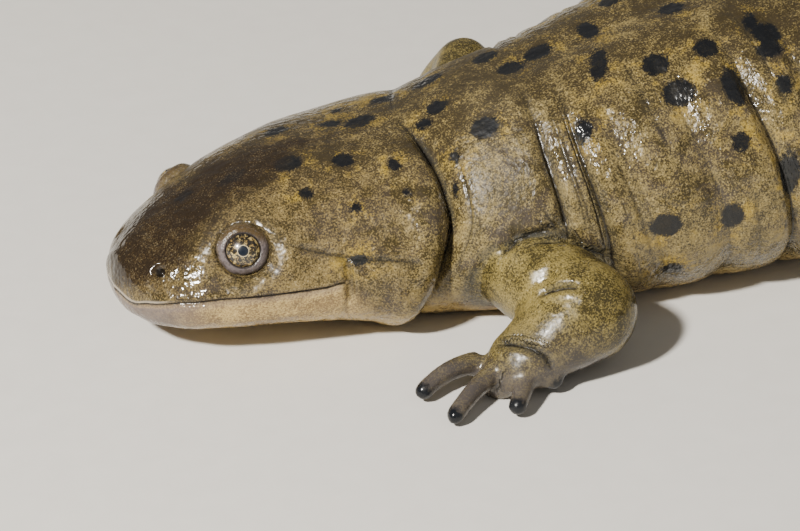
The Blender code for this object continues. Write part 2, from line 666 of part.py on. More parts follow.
def build():
    """Make every piece, give each its material and hang all of them on one empty."""
    build_head()
    clearance = build_body()
    for limb in LIMBS.values():
        build_limb(limb, clearance, PARTS)
    looks = {"head": (SKIN_BROWN, 0.32), "lower_jaw": (SKIN_PALE, 0.34)}
    for word in ("left", "right"):
        looks[word + "_eye"] = (EYE_DARK, 0.05)
        for lid_name in ("_upper_lid", "_lower_lid"):
            looks[word + lid_name] = (SKIN_BROWN, 0.3)
        for limb_name in ("_upper_arm", "_forearm", "_thigh", "_shank"):
            looks[word + limb_name] = (SKIN_LIMB, 0.33)
        for paw_name in ("_hand", "_foot"):
            looks[word + paw_name] = (SKIN_TOE, 0.3)
    root = bpy.data.objects.new("salamander_root", None)
    PARTS.objects.link(root)
    for piece in list(PARTS.objects):
        if piece.type != "MESH":
            continue
        color, roughness = looks.get(piece.name, (SKIN_OLIVE, 0.33))
        piece.data.materials.clear()
        piece.data.materials.append(material(piece.name + "_skin", color, roughness))
        piece.parent = root
    for guide in CUTTERS.objects:
        guide.hide_render = True
        guide.display_type = "WIRE"


build()
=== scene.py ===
# %% [markdown]
# # A tiger salamander, dressed
#
# The packed solids give the animal's size and its nodes. This lesson covers them with one fine
# skin, two eyes and their lids, and gives each a finish. Everything is worked out in millimetres
# in the solids' own frame: +X toward the tail, +Y toward the animal's right, +Z up.

# %% The packed model
import math

import bpy
import numpy as np
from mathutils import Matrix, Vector


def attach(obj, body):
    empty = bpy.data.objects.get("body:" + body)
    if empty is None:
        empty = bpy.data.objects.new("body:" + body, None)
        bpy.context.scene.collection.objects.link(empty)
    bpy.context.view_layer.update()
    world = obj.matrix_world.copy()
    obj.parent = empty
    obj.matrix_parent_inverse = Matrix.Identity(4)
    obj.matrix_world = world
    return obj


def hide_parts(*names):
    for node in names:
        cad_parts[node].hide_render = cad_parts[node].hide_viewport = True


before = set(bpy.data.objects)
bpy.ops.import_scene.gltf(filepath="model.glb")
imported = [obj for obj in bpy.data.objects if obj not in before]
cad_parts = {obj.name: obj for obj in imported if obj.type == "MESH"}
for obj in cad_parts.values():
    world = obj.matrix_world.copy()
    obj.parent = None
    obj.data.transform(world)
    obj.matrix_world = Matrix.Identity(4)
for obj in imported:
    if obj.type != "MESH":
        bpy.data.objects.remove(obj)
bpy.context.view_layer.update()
MM = 0.001

# %% [markdown]
# ## The camera
#
# A close view with a long lens, from in front of the left shoulder and 30 degrees up. The place
# comes first, because every later choice is judged through it. A camera looks along its own -Z,
# so it is turned by tracking that axis toward the point that it looks at.

# %% Camera
AZIMUTH, ELEVATION, DISTANCE = math.radians(-22.2), math.radians(30.0), 0.300
LOOK_AT = Vector((-0.0514, -0.0093, 0.008))
FOCAL_PIXELS, IMAGE_WIDTH, SENSOR_WIDTH = 3063, 800, 36.0
NEAREST, FARTHEST = 0.01, 20.0

backward = Vector((math.sin(AZIMUTH) * math.cos(ELEVATION),
                   -math.cos(AZIMUTH) * math.cos(ELEVATION), math.sin(ELEVATION)))
lens = bpy.data.cameras.new("close_camera")
lens.sensor_width = SENSOR_WIDTH
lens.lens = FOCAL_PIXELS / IMAGE_WIDTH * SENSOR_WIDTH
lens.clip_start, lens.clip_end = NEAREST, FARTHEST
camera = bpy.data.objects.new("close_camera", lens)
camera.location = LOOK_AT + backward * DISTANCE
camera.rotation_mode = "QUATERNION"
camera.rotation_quaternion = (-backward).to_track_quat("-Z", "Y")
bpy.context.scene.collection.objects.link(camera)
bpy.context.scene.camera = camera
print("camera", round(DISTANCE * 1000), "mm away, lens", round(lens.lens, 1), "mm")

# %% [markdown]
# ## Shader maths as plain sums
#
# A finish is a graph of nodes, and a graph is tedious to write one link at a time. `Wire` wraps
# a node's output so that `1 - mask * 0.5` adds the Math nodes itself. `Finish` makes a material
# and any other node from its type, its settings and its inputs.


# %% Wire
class Wire:
    """A node's output that can be added, subtracted, multiplied and divided like a number."""

    def __init__(self, finish, socket):
        self.finish, self.socket = finish, socket

    def math(self, operation, first, second=0.0):
        """One Math node on two values; either may be a number."""
        return self.finish.node("ShaderNodeMath", {"operation": operation}, [first, second])[0]

    def __add__(self, other):
        return self.math("ADD", self, other)

    def __radd__(self, other):
        return self.math("ADD", other, self)

    def __sub__(self, other):
        return self.math("SUBTRACT", self, other)

    def __rsub__(self, other):
        return self.math("SUBTRACT", other, self)

    def __mul__(self, other):
        return self.math("MULTIPLY", self, other)

    def __rmul__(self, other):
        return self.math("MULTIPLY", other, self)

    def __truediv__(self, other):
        return self.math("DIVIDE", self, other)

    def __abs__(self):
        return self.math("ABSOLUTE", self)

    def step(self, low, high):
        """0 below low and 1 above high, or the other way round if low is the higher, eased."""
        settings = {"interpolation_type": "SMOOTHSTEP"}
        if low < high:
            return self.finish.node("ShaderNodeMapRange", settings,
                                    {"Value": self, "From Min": low, "From Max": high})[0]
        return 1 - self.step(high, low)

    def clamp(self):
        """Held between 0 and 1."""
        return self.finish.node("ShaderNodeClamp", {}, {"Value": self})[0]


print("a wire knows", ", ".join(name for name in vars(Wire) if not name.startswith("__")))


# %% Finish
class Finish:
    """A material with its nodes; calling node() gives that node's outputs as wires."""

    def __init__(self, name):
        self.material = bpy.data.materials.new(name)
        self.material.use_nodes = True
        self.tree = self.material.node_tree
        self.shader = self.tree.nodes["Principled BSDF"]

    def node(self, kind, settings=None, inputs=None):
        """Makes a node, sets its settings, then sets or links its inputs by name or order."""
        made = self.tree.nodes.new(kind)
        for key, value in (settings or {}).items():
            setattr(made, key, value)
        pairs = inputs.items() if isinstance(inputs, dict) else enumerate(inputs or [])
        for key, value in pairs:
            self.feed(made.inputs[key], value)
        return [Wire(self, socket) for socket in made.outputs]

    def feed(self, socket, value):
        """Links a wire, or sets a number, colour or vector."""
        if isinstance(value, Wire):
            self.tree.links.new(value.socket, socket)
        elif isinstance(value, (tuple, list)) and socket.type == "RGBA" and len(value) == 3:
            socket.default_value = (*value, 1.0)
        else:
            socket.default_value = value

    def attribute(self, name):
        """A number kept on the mesh at each vertex."""
        return self.node("ShaderNodeAttribute", {"attribute_name": name})[2]

    def place(self, stretch=(1.0, 1.0, 1.0)):
        """Object coordinates in millimetres, stretched if asked."""
        spot = self.node("ShaderNodeTexCoord")[3]
        scale = [1000.0 * s for s in stretch]
        return self.node("ShaderNodeVectorMath", {"operation": "MULTIPLY"}, [spot, scale])[0]

    def noise(self, where, scale, detail=2.0, roughness=0.5, warp=0.0):
        """Cloudy noise about 0.5, its scale in cycles a millimetre."""
        return self.node("ShaderNodeTexNoise", {"noise_dimensions": "3D"},
                         {"Vector": where, "Scale": scale, "Detail": detail,
                          "Roughness": roughness, "Distortion": warp})[0]

    def mix(self, share, first, second):
        """Blends two colours by a share from 0 to 1; a Mix node's colour sockets are 6, 7 and 2."""
        return self.node("ShaderNodeMix", {"data_type": "RGBA"}, {0: share, 6: first, 7: second})[2]

    def bump(self, height, distance, strength=1.0, under=None):
        """A normal from a height in millimetres."""
        inputs = {"Height": height, "Distance": distance * MM, "Strength": strength}
        if under is not None:
            inputs["Normal"] = under
        return self.node("ShaderNodeBump", {}, inputs)[0]

    def vector(self, first, second, third):
        """A vector made of three numbers."""
        return self.node("ShaderNodeCombineXYZ", {}, [first, second, third])[0]

    def set(self, **sockets):
        """Sets or links sockets of the shader; an underscore stands for a space."""
        for key, value in sockets.items():
            self.feed(self.shader.inputs[key.replace("_", " ")], value)
        return self.material


def hill_of(wire, half_width):
    """A share that is 1 where the wire is 0 and falls to nothing two half widths away."""
    return (abs(wire) / half_width).step(2.0, 0.0)


print("shader helpers ready")

# %% [markdown]
# ## The floor and the light
#
# A plain pale floor stretches past the view. In the photo one small lamp at the upper left, near
# the camera, puts sharp glints on the wet skin, and the key light stands in for it: it is small,
# because a large lamp's reflection would spread into a haze. A broad weak fill from the right
# keeps the shadows soft, a faint lamp behind lifts the far edge, and the sky is even and pale.

# %% Floor
FLOOR_REACH, BELOW_THE_FEET = 3.0, 0.00004
PAPER_DARK, PAPER_LIGHT = (0.66, 0.64, 0.60), (0.72, 0.70, 0.66)

corners = [(x * FLOOR_REACH, y * FLOOR_REACH, 0) for x, y in ((-1, -1), (1, -1), (1, 1), (-1, 1))]
floor_mesh = bpy.data.meshes.new("floor")
floor_mesh.from_pydata(corners, [], [(0, 1, 2, 3)])
floor = bpy.data.objects.new("floor", floor_mesh)
floor.location.z = -BELOW_THE_FEET
bpy.context.scene.collection.objects.link(floor)
paper = Finish("pale_floor")
shade = paper.mix(paper.noise(paper.place(), 0.35, 4.0), PAPER_DARK, PAPER_LIGHT)
floor_mesh.materials.append(paper.set(Base_Color=shade, Roughness=0.85))
print("floor", floor.dimensions[:])

# %% Lights
SKY_COLOUR, SKY_STRENGTH = (1.0, 0.97, 0.92, 1.0), 0.14


def area_light(name, direction, distance, size, power, colour):
    """A square lamp at a distance along a direction from the look-at point, facing it."""
    lamp = bpy.data.lights.new(name, "AREA")
    lamp.size, lamp.energy, lamp.color = size, power, colour
    made = bpy.data.objects.new(name, lamp)
    aim = Vector(direction).normalized()
    made.location = LOOK_AT + aim * distance
    made.rotation_mode = "QUATERNION"
    made.rotation_quaternion = aim.to_track_quat("Z", "Y")
    bpy.context.scene.collection.objects.link(made)


area_light("key_light", (-0.65, -0.36, 0.68), distance=0.60, size=0.045, power=8.6,
           colour=(1.0, 0.96, 0.89))
area_light("fill_light", (0.5, -1.0, 0.9), distance=2.0, size=2.6, power=5.4,
           colour=(1.0, 0.98, 0.94))
area_light("back_light", (0.2, 1.2, 0.9), distance=1.6, size=1.6, power=0.8,
           colour=(1.0, 0.98, 0.95))
sky = bpy.data.worlds.new("soft_sky")
sky.use_nodes = True
sky.node_tree.nodes["Background"].inputs["Color"].default_value = SKY_COLOUR
sky.node_tree.nodes["Background"].inputs["Strength"].default_value = SKY_STRENGTH
bpy.context.scene.world = sky

# %% [markdown]
# ## The body's measures
#
# The same short tables that shape the solids: each is a list of (station, value), where the
# station is the distance in millimetres from the snout along a level spine. A point of the body
# is a station and an angle round the section: 0 on the left flank, a quarter turn on the back.

# %% Tables
LENGTH, ORIGIN_STATION = 218.0, 78.0
HEADING = [(0, 4), (20, 4), (30, -4), (36, -12), (44, -9), (56, 2), (70, 1), (90, 2),
           (105, 4), (125, 14), (150, 28), (180, 30), (218, 16)]
HALF_WIDTH = [(0, 0), (0.4, 2.6), (1.5, 5.2), (4, 8.2), (8, 10.3), (13, 11.9), (20, 13.7),
              (26, 15.2), (29.5, 14.8), (32, 14.1), (38, 14.8), (48, 16.3), (60, 18.3),
              (78, 19.6), (94, 18.6), (104, 15.8), (112, 12.9), (120, 10.9), (128, 9.3),
              (142, 6.8), (160, 4.8), (190, 2.8), (212, 1.3), (218, 0)]
TOP = [(0, 6.2), (0.4, 8.0), (1.5, 9.6), (4, 11.4), (8, 13.5), (13, 15.6), (20, 17.0),
       (26, 17.2), (32, 18.6), (38, 21.0), (48, 24.2), (60, 27.4), (78, 29.1), (94, 28.0),
       (106, 24.4), (118, 20.2), (128, 17.8), (142, 16.6), (160, 15.2), (190, 10.8),
       (212, 4.2), (218, 1.5)]
BELLY = [(0, 5.6), (0.4, 4.4), (1.5, 3.2), (4, 2.3), (8, 1.9), (13, 1.6), (20, 0.5),
         (30, -1.6), (34, -1.8), (48, -2.0), (60, -1.8), (100, -0.8), (130, -0.3),
         (212, -0.3), (218, 0.6)]
WIDEST = [(0, 6.0), (4, 6.4), (13, 6.6), (26, 7.4), (38, 9.2), (60, 11.6), (78, 12.5),
          (96, 12.0), (118, 9.0), (142, 7.0), (190, 5.0), (218, 1.2)]
FULLNESS_ABOVE = [(0, 2.0), (8, 2.1), (20, 2.15), (40, 2.1), (218, 2.0)]
FULLNESS_BELOW = [(0, 2.1), (20, 2.3), (40, 2.2), (218, 2.1)]
GULAR_LEAN = [(-1.571, -4.6), (-0.6, -4.4), (-0.25, -3.3), (0, -1.2), (0.25, 0.4),
              (0.5, 0.2), (0.8, -0.5), (1.1, -1.4), (1.35, -2.1), (1.571, -2.4)]
GULAR_REACH = [(0, 0), (20, 0), (30, 0.9), (33, 1), (36, 0.9), (43, 0.15), (47, 0), (218, 0)]
GROOVE_LEAN = [(-1.571, 2.6), (-0.5, 2.4), (0, 1.3), (0.5, 0), (1.2, -0.8), (1.571, -1.0)]
GROOVE_REACH = [(0, 0), (38, 0), (43, 0.9), (50, 1.5), (62, 1.8), (80, 1.4), (98, 1), (112, 0),
                (218, 0)]
MOUTH_LINE = [(-2, 5.9), (0.1, 5.8), (0.4, 5.65), (1.1, 6.05), (2.2, 6.65), (5.2, 7.5),
              (7, 7.72), (9.5, 7.82), (14.2, 7.9), (17.2, 8.0), (18.4, 8.2)]


def looked_up(table, position):
    """A table's columns; each position's entry before it, the span to the next and its share of it."""
    known, value = np.array(table, float).T
    position = np.clip(np.asarray(position, float), known[0], known[-1])
    left = np.clip(np.searchsorted(known, position, side="right") - 1, 0, len(known) - 2)
    span = known[left + 1] - known[left]
    return known, value, left, span, (position - known[left]) / span


def along(table, position):
    """Smooth curve through (position, value) pairs: cubic pieces that share their slopes."""
    known, value, left, span, t = looked_up(table, position)
    slope = np.gradient(value, known)
    return ((2 * t**3 - 3 * t**2 + 1) * value[left] + (t**3 - 2 * t**2 + t) * span * slope[left]
            + (3 * t**2 - 2 * t**3) * value[left + 1] + (t**3 - t**2) * span * slope[left + 1])


def faded(table, position):
    """Shares between the listed ones, level at each of them, so that none is overshot."""
    _, value, left, _, t = looked_up(table, position)
    return value[left] + (3 * t**2 - 2 * t**3) * (value[left + 1] - value[left])


print("half width at the belly", along(HALF_WIDTH, 78.0), "mm, top", along(TOP, 78.0), "mm")

# %% [markdown]
# ## The spine, there and back
#
# The spine lies level and turns by its heading, so its points are running sums of small steps.
# `place` goes from a station, a distance out and a height to the world. `unplace` goes back: it
# guesses the station from X and corrects the guess by how far the point still lies ahead along
# the spine. That lets a finished mesh, whose vertices no longer know where they came from, ask
# for its own stations and angles.

# %% Spine
SPINE_POINTS, CORRECTIONS = 2181, 12

spine_station = np.linspace(0, LENGTH, SPINE_POINTS)
spine_turn = np.radians(along(HEADING, spine_station))
spine_step = spine_station[1]


def running_sum(values):
    """Sum of the trapezoids under the values, from the snout on."""
    return np.concatenate([[0], np.cumsum((values[1:] + values[:-1]) / 2 * spine_step)])


spine_east, spine_north = running_sum(np.cos(spine_turn)), running_sum(np.sin(spine_turn))
spine_east -= np.interp(ORIGIN_STATION, spine_station, spine_east)
spine_north -= np.interp(ORIGIN_STATION, spine_station, spine_north)


def place(station, out, height):
    """World point at a station, a distance out to the animal's left, and a height."""
    turn = np.radians(along(HEADING, station))
    ahead = np.minimum(station, 0)
    east = np.interp(station, spine_station, spine_east) + ahead * np.cos(turn)
    north = np.interp(station, spine_station, spine_north) + ahead * np.sin(turn)
    return np.stack([east + out * np.sin(turn), north - out * np.cos(turn), height + 0 * east], -1)


def unplace(points):
    """Station, distance out and height of world points: the reverse of place."""
    east, north, height = np.asarray(points, float).T
    station = np.interp(east, spine_east, spine_station)
    for _ in range(CORRECTIONS):
        turn = np.radians(along(HEADING, station))
        off_east = east - np.interp(station, spine_station, spine_east)
        off_north = north - np.interp(station, spine_station, spine_north)
        ahead = off_east * np.cos(turn) + off_north * np.sin(turn)
        station = np.clip(station + 0.8 * ahead, -1.0, LENGTH + 1.0)
    return station, off_east * np.sin(turn) - off_north * np.cos(turn), height


probe = place(np.array([5.0, 50.0, 150.0]), np.array([4.0, -15.0, 2.0]), np.array([8.0, 9.0, 7.0]))
print("there and back:", np.round(unplace(probe)[0], 3), np.round(unplace(probe)[1], 3))

# %% [markdown]
# ## Folds, grooves and swellings
#
# The skin's radius is a section, two half superellipses, plus a relief of smooth hills: the
# gular fold behind the jaw with the jowl before it, the costal grooves down the flanks with puffy
# swellings between them, the lips along the mouth, the mound of each eye and the furrow along the
# spine. Each hill is e to minus a squared distance, so they may be added freely.

# %% Relief
GULAR = 33.0
GROOVES = [(43.3, 1.1, 0.40), (46.1, 0.85, 0.38), (49.2, 0.4, 1.0), (55.0, 0.7, 1.15),
           (61.9, 1.2, 0.8), (67.6, 0.6, 1.0), (73.4, 0.9, 0.7), (79.2, 0.9, 0.7), (85.0, 0.9, 0.7),
           (90.8, 0.9, 0.7), (96.6, 0.8, 0.7), (102.4, 0.7, 0.7)]
WRINKLES = [(35.4, 0.35, 0.55), (45.0, 0.45, 0.5), (48.5, 0.1, 0.4), (52.6, 0.75, 0.35),
            (57.8, -0.1, 0.3), (64.6, 0.8, 0.35), (70.4, -0.2, 0.3), (76.2, 0.5, 0.3),
            (88.0, 0.2, 0.3)]
EYE_STATION, EYE_OUT, EYE_HEIGHT, EYE_RADIUS = 10.5, 7.6, 11.3, 2.1
RIGHT_EYE_SHIFT, RIGHT_FOLD_SHARE, RIGHT_MOUND_SHARE = (-0.15, 0.2, -0.5), 0.2, 0.2
RIGHT_FLAT = [(0, 0), (2.6, 0.6), (5.8, 0.5), (8.5, 0.2), (12.4, 0.4), (17, 0.28), (22, 0),
              (218, 0)]
NOSTRIL_STATION, NOSTRIL_ANGLE = 2.9, 0.57
GROOVES_SEEN = [(-1.571, 0), (-1.0, 0), (-0.5, 1), (0.6, 1), (0.95, 0.35), (1.3, 0), (1.571, 0)]
FOLD_SEEN = [(-1.571, 0.3), (-0.5, 1), (0.8, 1), (1.3, 0.3), (1.571, 0)]
LIPS_SEEN = [(0, 0), (1, 0.3), (3, 1), (17, 1), (20, 0), (218, 0)]
TEMPLE_SEEN = [(0, 0), (14, 0), (16.5, 1), (26, 1), (29, 0), (218, 0)]
FURROW_SEEN = [(0, 0), (36, 0), (46, 1), (104, 1), (116, 0), (218, 0)]
TEMPLE_LINE = [(14, 0.46), (17.6, 0.37), (19.5, 0.29), (22.6, 0.28), (25.1, 0.22), (29, 0.10)]
GULAR_DEPTH, JOWL_HEIGHT, JOWL_STATION, JOWL_LENGTH = 1.5, 0.45, 29.5, 2.2
FURROW_DEPTH, FURROW_WIDTH, FIRST_GROOVED = 0.6, 0.2, 36
SWELLING, WRINKLE_HALF_WIDTH, WRINKLE_HALF_RISE = 0.12, 0.3, 0.4
UPPER_LIP, LOWER_LIP = (0.26, 0.45, 0.5), (0.16, -0.75, 0.6)
MOUTH_DEPTH, MOUTH_HALF_WIDTH, MOUTH_END = 0.42, 0.16, 19.0
MOUND_HEIGHT, MOUND_LENGTH, MOUND_RISE, MOUND_SPREAD = 0.9, 3.4, 0.62, 0.36
TEMPLE_DEPTH, CHEEK_DEPTH, CHEEK_STATION, CHEEK_WIDTH = 0.45, 0.45, 19.4, 0.55


def hill(distance, half_width):
    """A smooth hill of height one: e to minus the square of distance over half width."""
    return np.exp(-(distance / half_width)**2)


def leftness(angle):
    """1 on the left flank, 0 on the right one and a half on the back."""
    return np.clip(0.5 + 2 * np.cos(angle), 0, 1)


def lean(station, rise):
    """How far a point of the ring at this station lies behind it, in millimetres."""
    gular = along(GULAR_LEAN, rise) * faded(GULAR_REACH, station)
    return gular + along(GROOVE_LEAN, rise) * faded(GROOVE_REACH, station)


def section_radius(station, angle):
    """Distance from the middle of the section to the skin: |cos/wide|^p + |sin/tall|^p = 1."""
    wide = np.maximum(along(HALF_WIDTH, station), 0.001)
    middle = along(WIDEST, station)
    above = np.sin(angle) >= 0
    tall = np.where(above, along(TOP, station) - middle, middle - along(BELLY, station))
    power = np.where(above, along(FULLNESS_ABOVE, station), along(FULLNESS_BELOW, station))
    sides = np.abs(np.cos(angle) / wide)**power
    return (sides + np.abs(np.sin(angle) / tall)**power)**(-1 / power)


def above_mouth(station, angle, radius):
    """Height over the mouth line in millimetres, on a head of that radius."""
    return along(WIDEST, station) + radius * np.sin(angle) - along(MOUTH_LINE, station)


def costal_relief(station, rise):
    """Swollen skin less its grooves: each a narrow hill of 0.75 on a wider one of 0.3 its depth."""
    cut = sum(depth * (0.75 * hill(station - groove, wide) + 0.3 * hill(station - groove, wide + 0.8))
              for groove, depth, wide in GROOVES)
    fine = sum(depth * hill(station - at, WRINKLE_HALF_WIDTH) * hill(rise - height, WRINKLE_HALF_RISE)
               for at, height, depth in WRINKLES)
    return SWELLING - cut * faded(GROOVES_SEEN, rise) - fine


def face_relief(station, angle, rise, radius):
    """Lips, mouth crease, eye mounds, temple groove and cheek crease, each a hill about its line."""
    over = above_mouth(station, angle, radius)
    seen, left = faded(LIPS_SEEN, station), leftness(angle)
    near = hill(over, 2.5)
    lips = sum(height * hill(over - at, wide) for height, at, wide in (UPPER_LIP, LOWER_LIP))
    slit = MOUTH_DEPTH * hill(over, MOUTH_HALF_WIDTH) * (station < MOUTH_END)
    mound = MOUND_HEIGHT * hill(station - EYE_STATION, MOUND_LENGTH) * (
        hill(rise - MOUND_RISE, MOUND_SPREAD) * (RIGHT_MOUND_SHARE + (1 - RIGHT_MOUND_SHARE) * left))
    flat = faded(RIGHT_FLAT, station) * hill(rise - 0.5, 0.45) * (1 - left)
    temple = TEMPLE_DEPTH * faded(TEMPLE_SEEN, station) * (
        0.6 * hill(rise - along(TEMPLE_LINE, station), 0.09) + 0.5 * hill(rise - 0.33, 0.2))
    cheek = CHEEK_DEPTH * hill(station - CHEEK_STATION, CHEEK_WIDTH) * hill(rise - 0.02, 0.26)
    return near * (seen * lips - slit) + mound - flat - temple - cheek


def relief(station, angle, radius):
    """Everything that is added; the head turns left, so the fold lies open on the right side."""
    rise = np.arcsin(np.clip(np.sin(angle), -1, 1))
    fold = faded(FOLD_SEEN, rise) * (RIGHT_FOLD_SHARE + (1 - RIGHT_FOLD_SHARE) * leftness(angle))
    gular = GULAR_DEPTH * (0.7 * hill(station - GULAR, 0.75) + 0.4 * hill(station - GULAR - 0.5, 1.6))
    jowl = JOWL_HEIGHT * hill(station - JOWL_STATION, JOWL_LENGTH)
    furrow = FURROW_DEPTH * faded(FURROW_SEEN, station) * hill(rise - math.pi / 2, FURROW_WIDTH)
    costal = costal_relief(station, rise) * (station > FIRST_GROOVED)
    return (jowl - gular) * fold - furrow + costal + face_relief(station, angle, rise, radius)


def skin(station, angle):
    """World points of the body's surface; below the floor they are pressed flat onto it."""
    rise = np.arcsin(np.clip(np.sin(angle), -1, 1))
    leaning = station + lean(station, rise)
    radius = section_radius(leaning, angle)
    radius = radius + relief(station, angle, radius)
    height = along(WIDEST, leaning) + radius * np.sin(angle)
    return place(leaning, radius * np.cos(angle), np.maximum(height, 0.0))


print("depth of the gular fold", round(float(relief(GULAR, 0.3, 14.0)), 2), "mm")

# %% [markdown]
# ## The grid of the skin
#
# The grid is finer where the form is: more rings over the head and at each groove, more lines
# round the section at the mouth, the nostrils and the eyes. A density, in lines a millimetre or
# a radian, is summed along the way, and the lines are put where the sum grows by equal steps.
# This spends the triangles on what is looked at. The ring nearest to each groove is then moved
# right onto it, so that its dark line runs along an edge of the mesh and stays sharp.

# %% Grid lines
def spread(density, low, high, count):
    """count positions from low to high, as close together as the density asks."""
    fine = np.linspace(low, high, 6000)
    total = np.concatenate([[0], np.cumsum(density(fine)[1:])])
    return np.interp(np.linspace(0, total[-1], count), total, fine)


def rings_wanted(station):
    """Rings a millimetre: most on the head and at the snout, fewer past the vent, more at grooves."""
    head = 3.2 / (1 + np.exp((station - 35) / 1.2)) + 3.5 * hill(station, 0.9)
    trunk = 1.15 / (1 + np.exp((station - 124) / 5.0)) + 0.5
    grooves = sum(1.3 / wide * hill(station - groove, 1.6 * wide) for groove, _, wide in GROOVES)
    return head + trunk + grooves + 3.0 * hill(station - NOSTRIL_STATION, 0.8)


def lines_wanted(angle):
    """Lines a radian round the section; the two flanks alike."""
    rise = np.arcsin(np.sin(angle))
    below = 0.35 / (1 + np.exp((rise + 1.0) / 0.1))
    return 1.0 - below + 2.2 * hill(rise - 0.06, 0.11) + 0.6 * hill(rise - 0.55, 0.3)


RINGS, LINES = 322, 208
SNOUT_HEIGHT, TAIL_TIP_HEIGHT = 6.0, 1.3
stations = spread(rings_wanted, 0.06, LENGTH - 0.2, RINGS)
for fold in [GULAR] + [groove for groove, *_ in GROOVES]:
    stations[np.abs(stations - fold).argmin()] = fold
angles = spread(lines_wanted, -math.pi / 2, 1.5 * math.pi, LINES + 1)[:-1]
print("rings", RINGS, "lines", LINES, "finest", round(float(np.diff(stations).min()), 3), "mm")

# %% [markdown]
# ## Meshes from grids
#
# A closed tube is a grid whose last column joins its first, with a fan of triangles at each end
# round one point, so the surface has no hole. The faces are worked out as whole arrays.

# %% Tubes


def grid_quads(rows, columns, ring=False):
    """Quads of a grid whose last column joins its first, and if asked its last row its first."""
    row, column = np.meshgrid(np.arange(rows if ring else rows - 1), np.arange(columns), indexing="ij")
    below, beside = (row + 1) % rows, (column + 1) % columns
    return np.stack([row * columns + column, row * columns + beside,
                     below * columns + beside, below * columns + column], -1).reshape(-1, 4)


def tube_faces(rows, columns, flip=False):
    """Quads of a grid closed round its columns, and fans to two hubs placed after the grid."""
    around = np.arange(columns)
    next_round = (around + 1) % columns
    last = (rows - 1) * columns
    first_fan = np.stack([next_round, around, np.full(columns, rows * columns)], -1)
    last_fan = np.stack([last + around, last + next_round, np.full(columns, rows * columns + 1)], -1)
    faces = grid_quads(rows, columns).tolist() + first_fan.tolist() + last_fan.tolist()
    return [face[::-1] for face in faces] if flip else faces


def mesh_piece(name, points, faces):
    """An object at the origin whose mesh has these points, given in millimetres."""
    mesh = bpy.data.meshes.new(name)
    mesh.from_pydata((np.asarray(points) * MM).tolist(), [], faces)
    mesh.shade_smooth()
    mesh.update()
    made = bpy.data.objects.new(name, mesh)
    bpy.context.scene.collection.objects.link(made)
    return made


def tube(name, rings, first, last, flip=False):
    """A closed tube through rings, an array rows by columns by 3, with a point at each end."""
    rows, columns = rings.shape[:2]
    points = np.concatenate([rings.reshape(-1, 3), [first], [last]])
    return mesh_piece(name, points, tube_faces(rows, columns, flip))


def fetched(items, field, width=1, kind=np.int32):
    """One field of all items of a mesh as an array, with width columns if more than one."""
    flat = np.zeros(len(items) * width, kind)
    items.foreach_get(field, flat)
    return flat.reshape(-1, width) if width > 1 else flat


def signed_volume(made):
    """Sum over the triangles of corner . (corner x corner) / 6, in cm3; negative if inside out."""
    made.data.calc_loop_triangles()
    spots = read_points(made)[fetched(made.data.loop_triangles, "vertices", 3)]
    return float(np.einsum("ij,ij->i", spots[:, 0], np.cross(spots[:, 1], spots[:, 2])).sum()) / 6000


def read_points(made):
    """The vertices in millimetres, as an array."""
    return fetched(made.data.vertices, "co", 3, np.float32).astype(float) * 1000


def write_points(made, points):
    """Puts an array of points, in millimetres, back into the vertices."""
    made.data.vertices.foreach_set("co", (points * MM).astype(np.float32).ravel())
    made.data.update()


grid_station, grid_angle = np.meshgrid(stations, angles, indexing="ij")
salamander = tube("salamander_skin", skin(grid_station, grid_angle),
                  place(0.0, 0.0, SNOUT_HEIGHT), place(LENGTH, 0.0, TAIL_TIP_HEIGHT), flip=True)
print("body volume", round(signed_volume(salamander), 2), "cm3")

# %% [markdown]
# ## Legs and arms
#
# Each limb is two rounded lengths, a palm and tapering toes, all closed tubes along straight or
# bent lines. A remesh in small cells fuses them, which rounds the elbow and the webs between the
# toes the way skin does, and a little smoothing takes off the marks of the cells. A length's
# sizes are (share of the way, half width, half height); a toe is (share across the palm, way it
# points in degrees, reach).

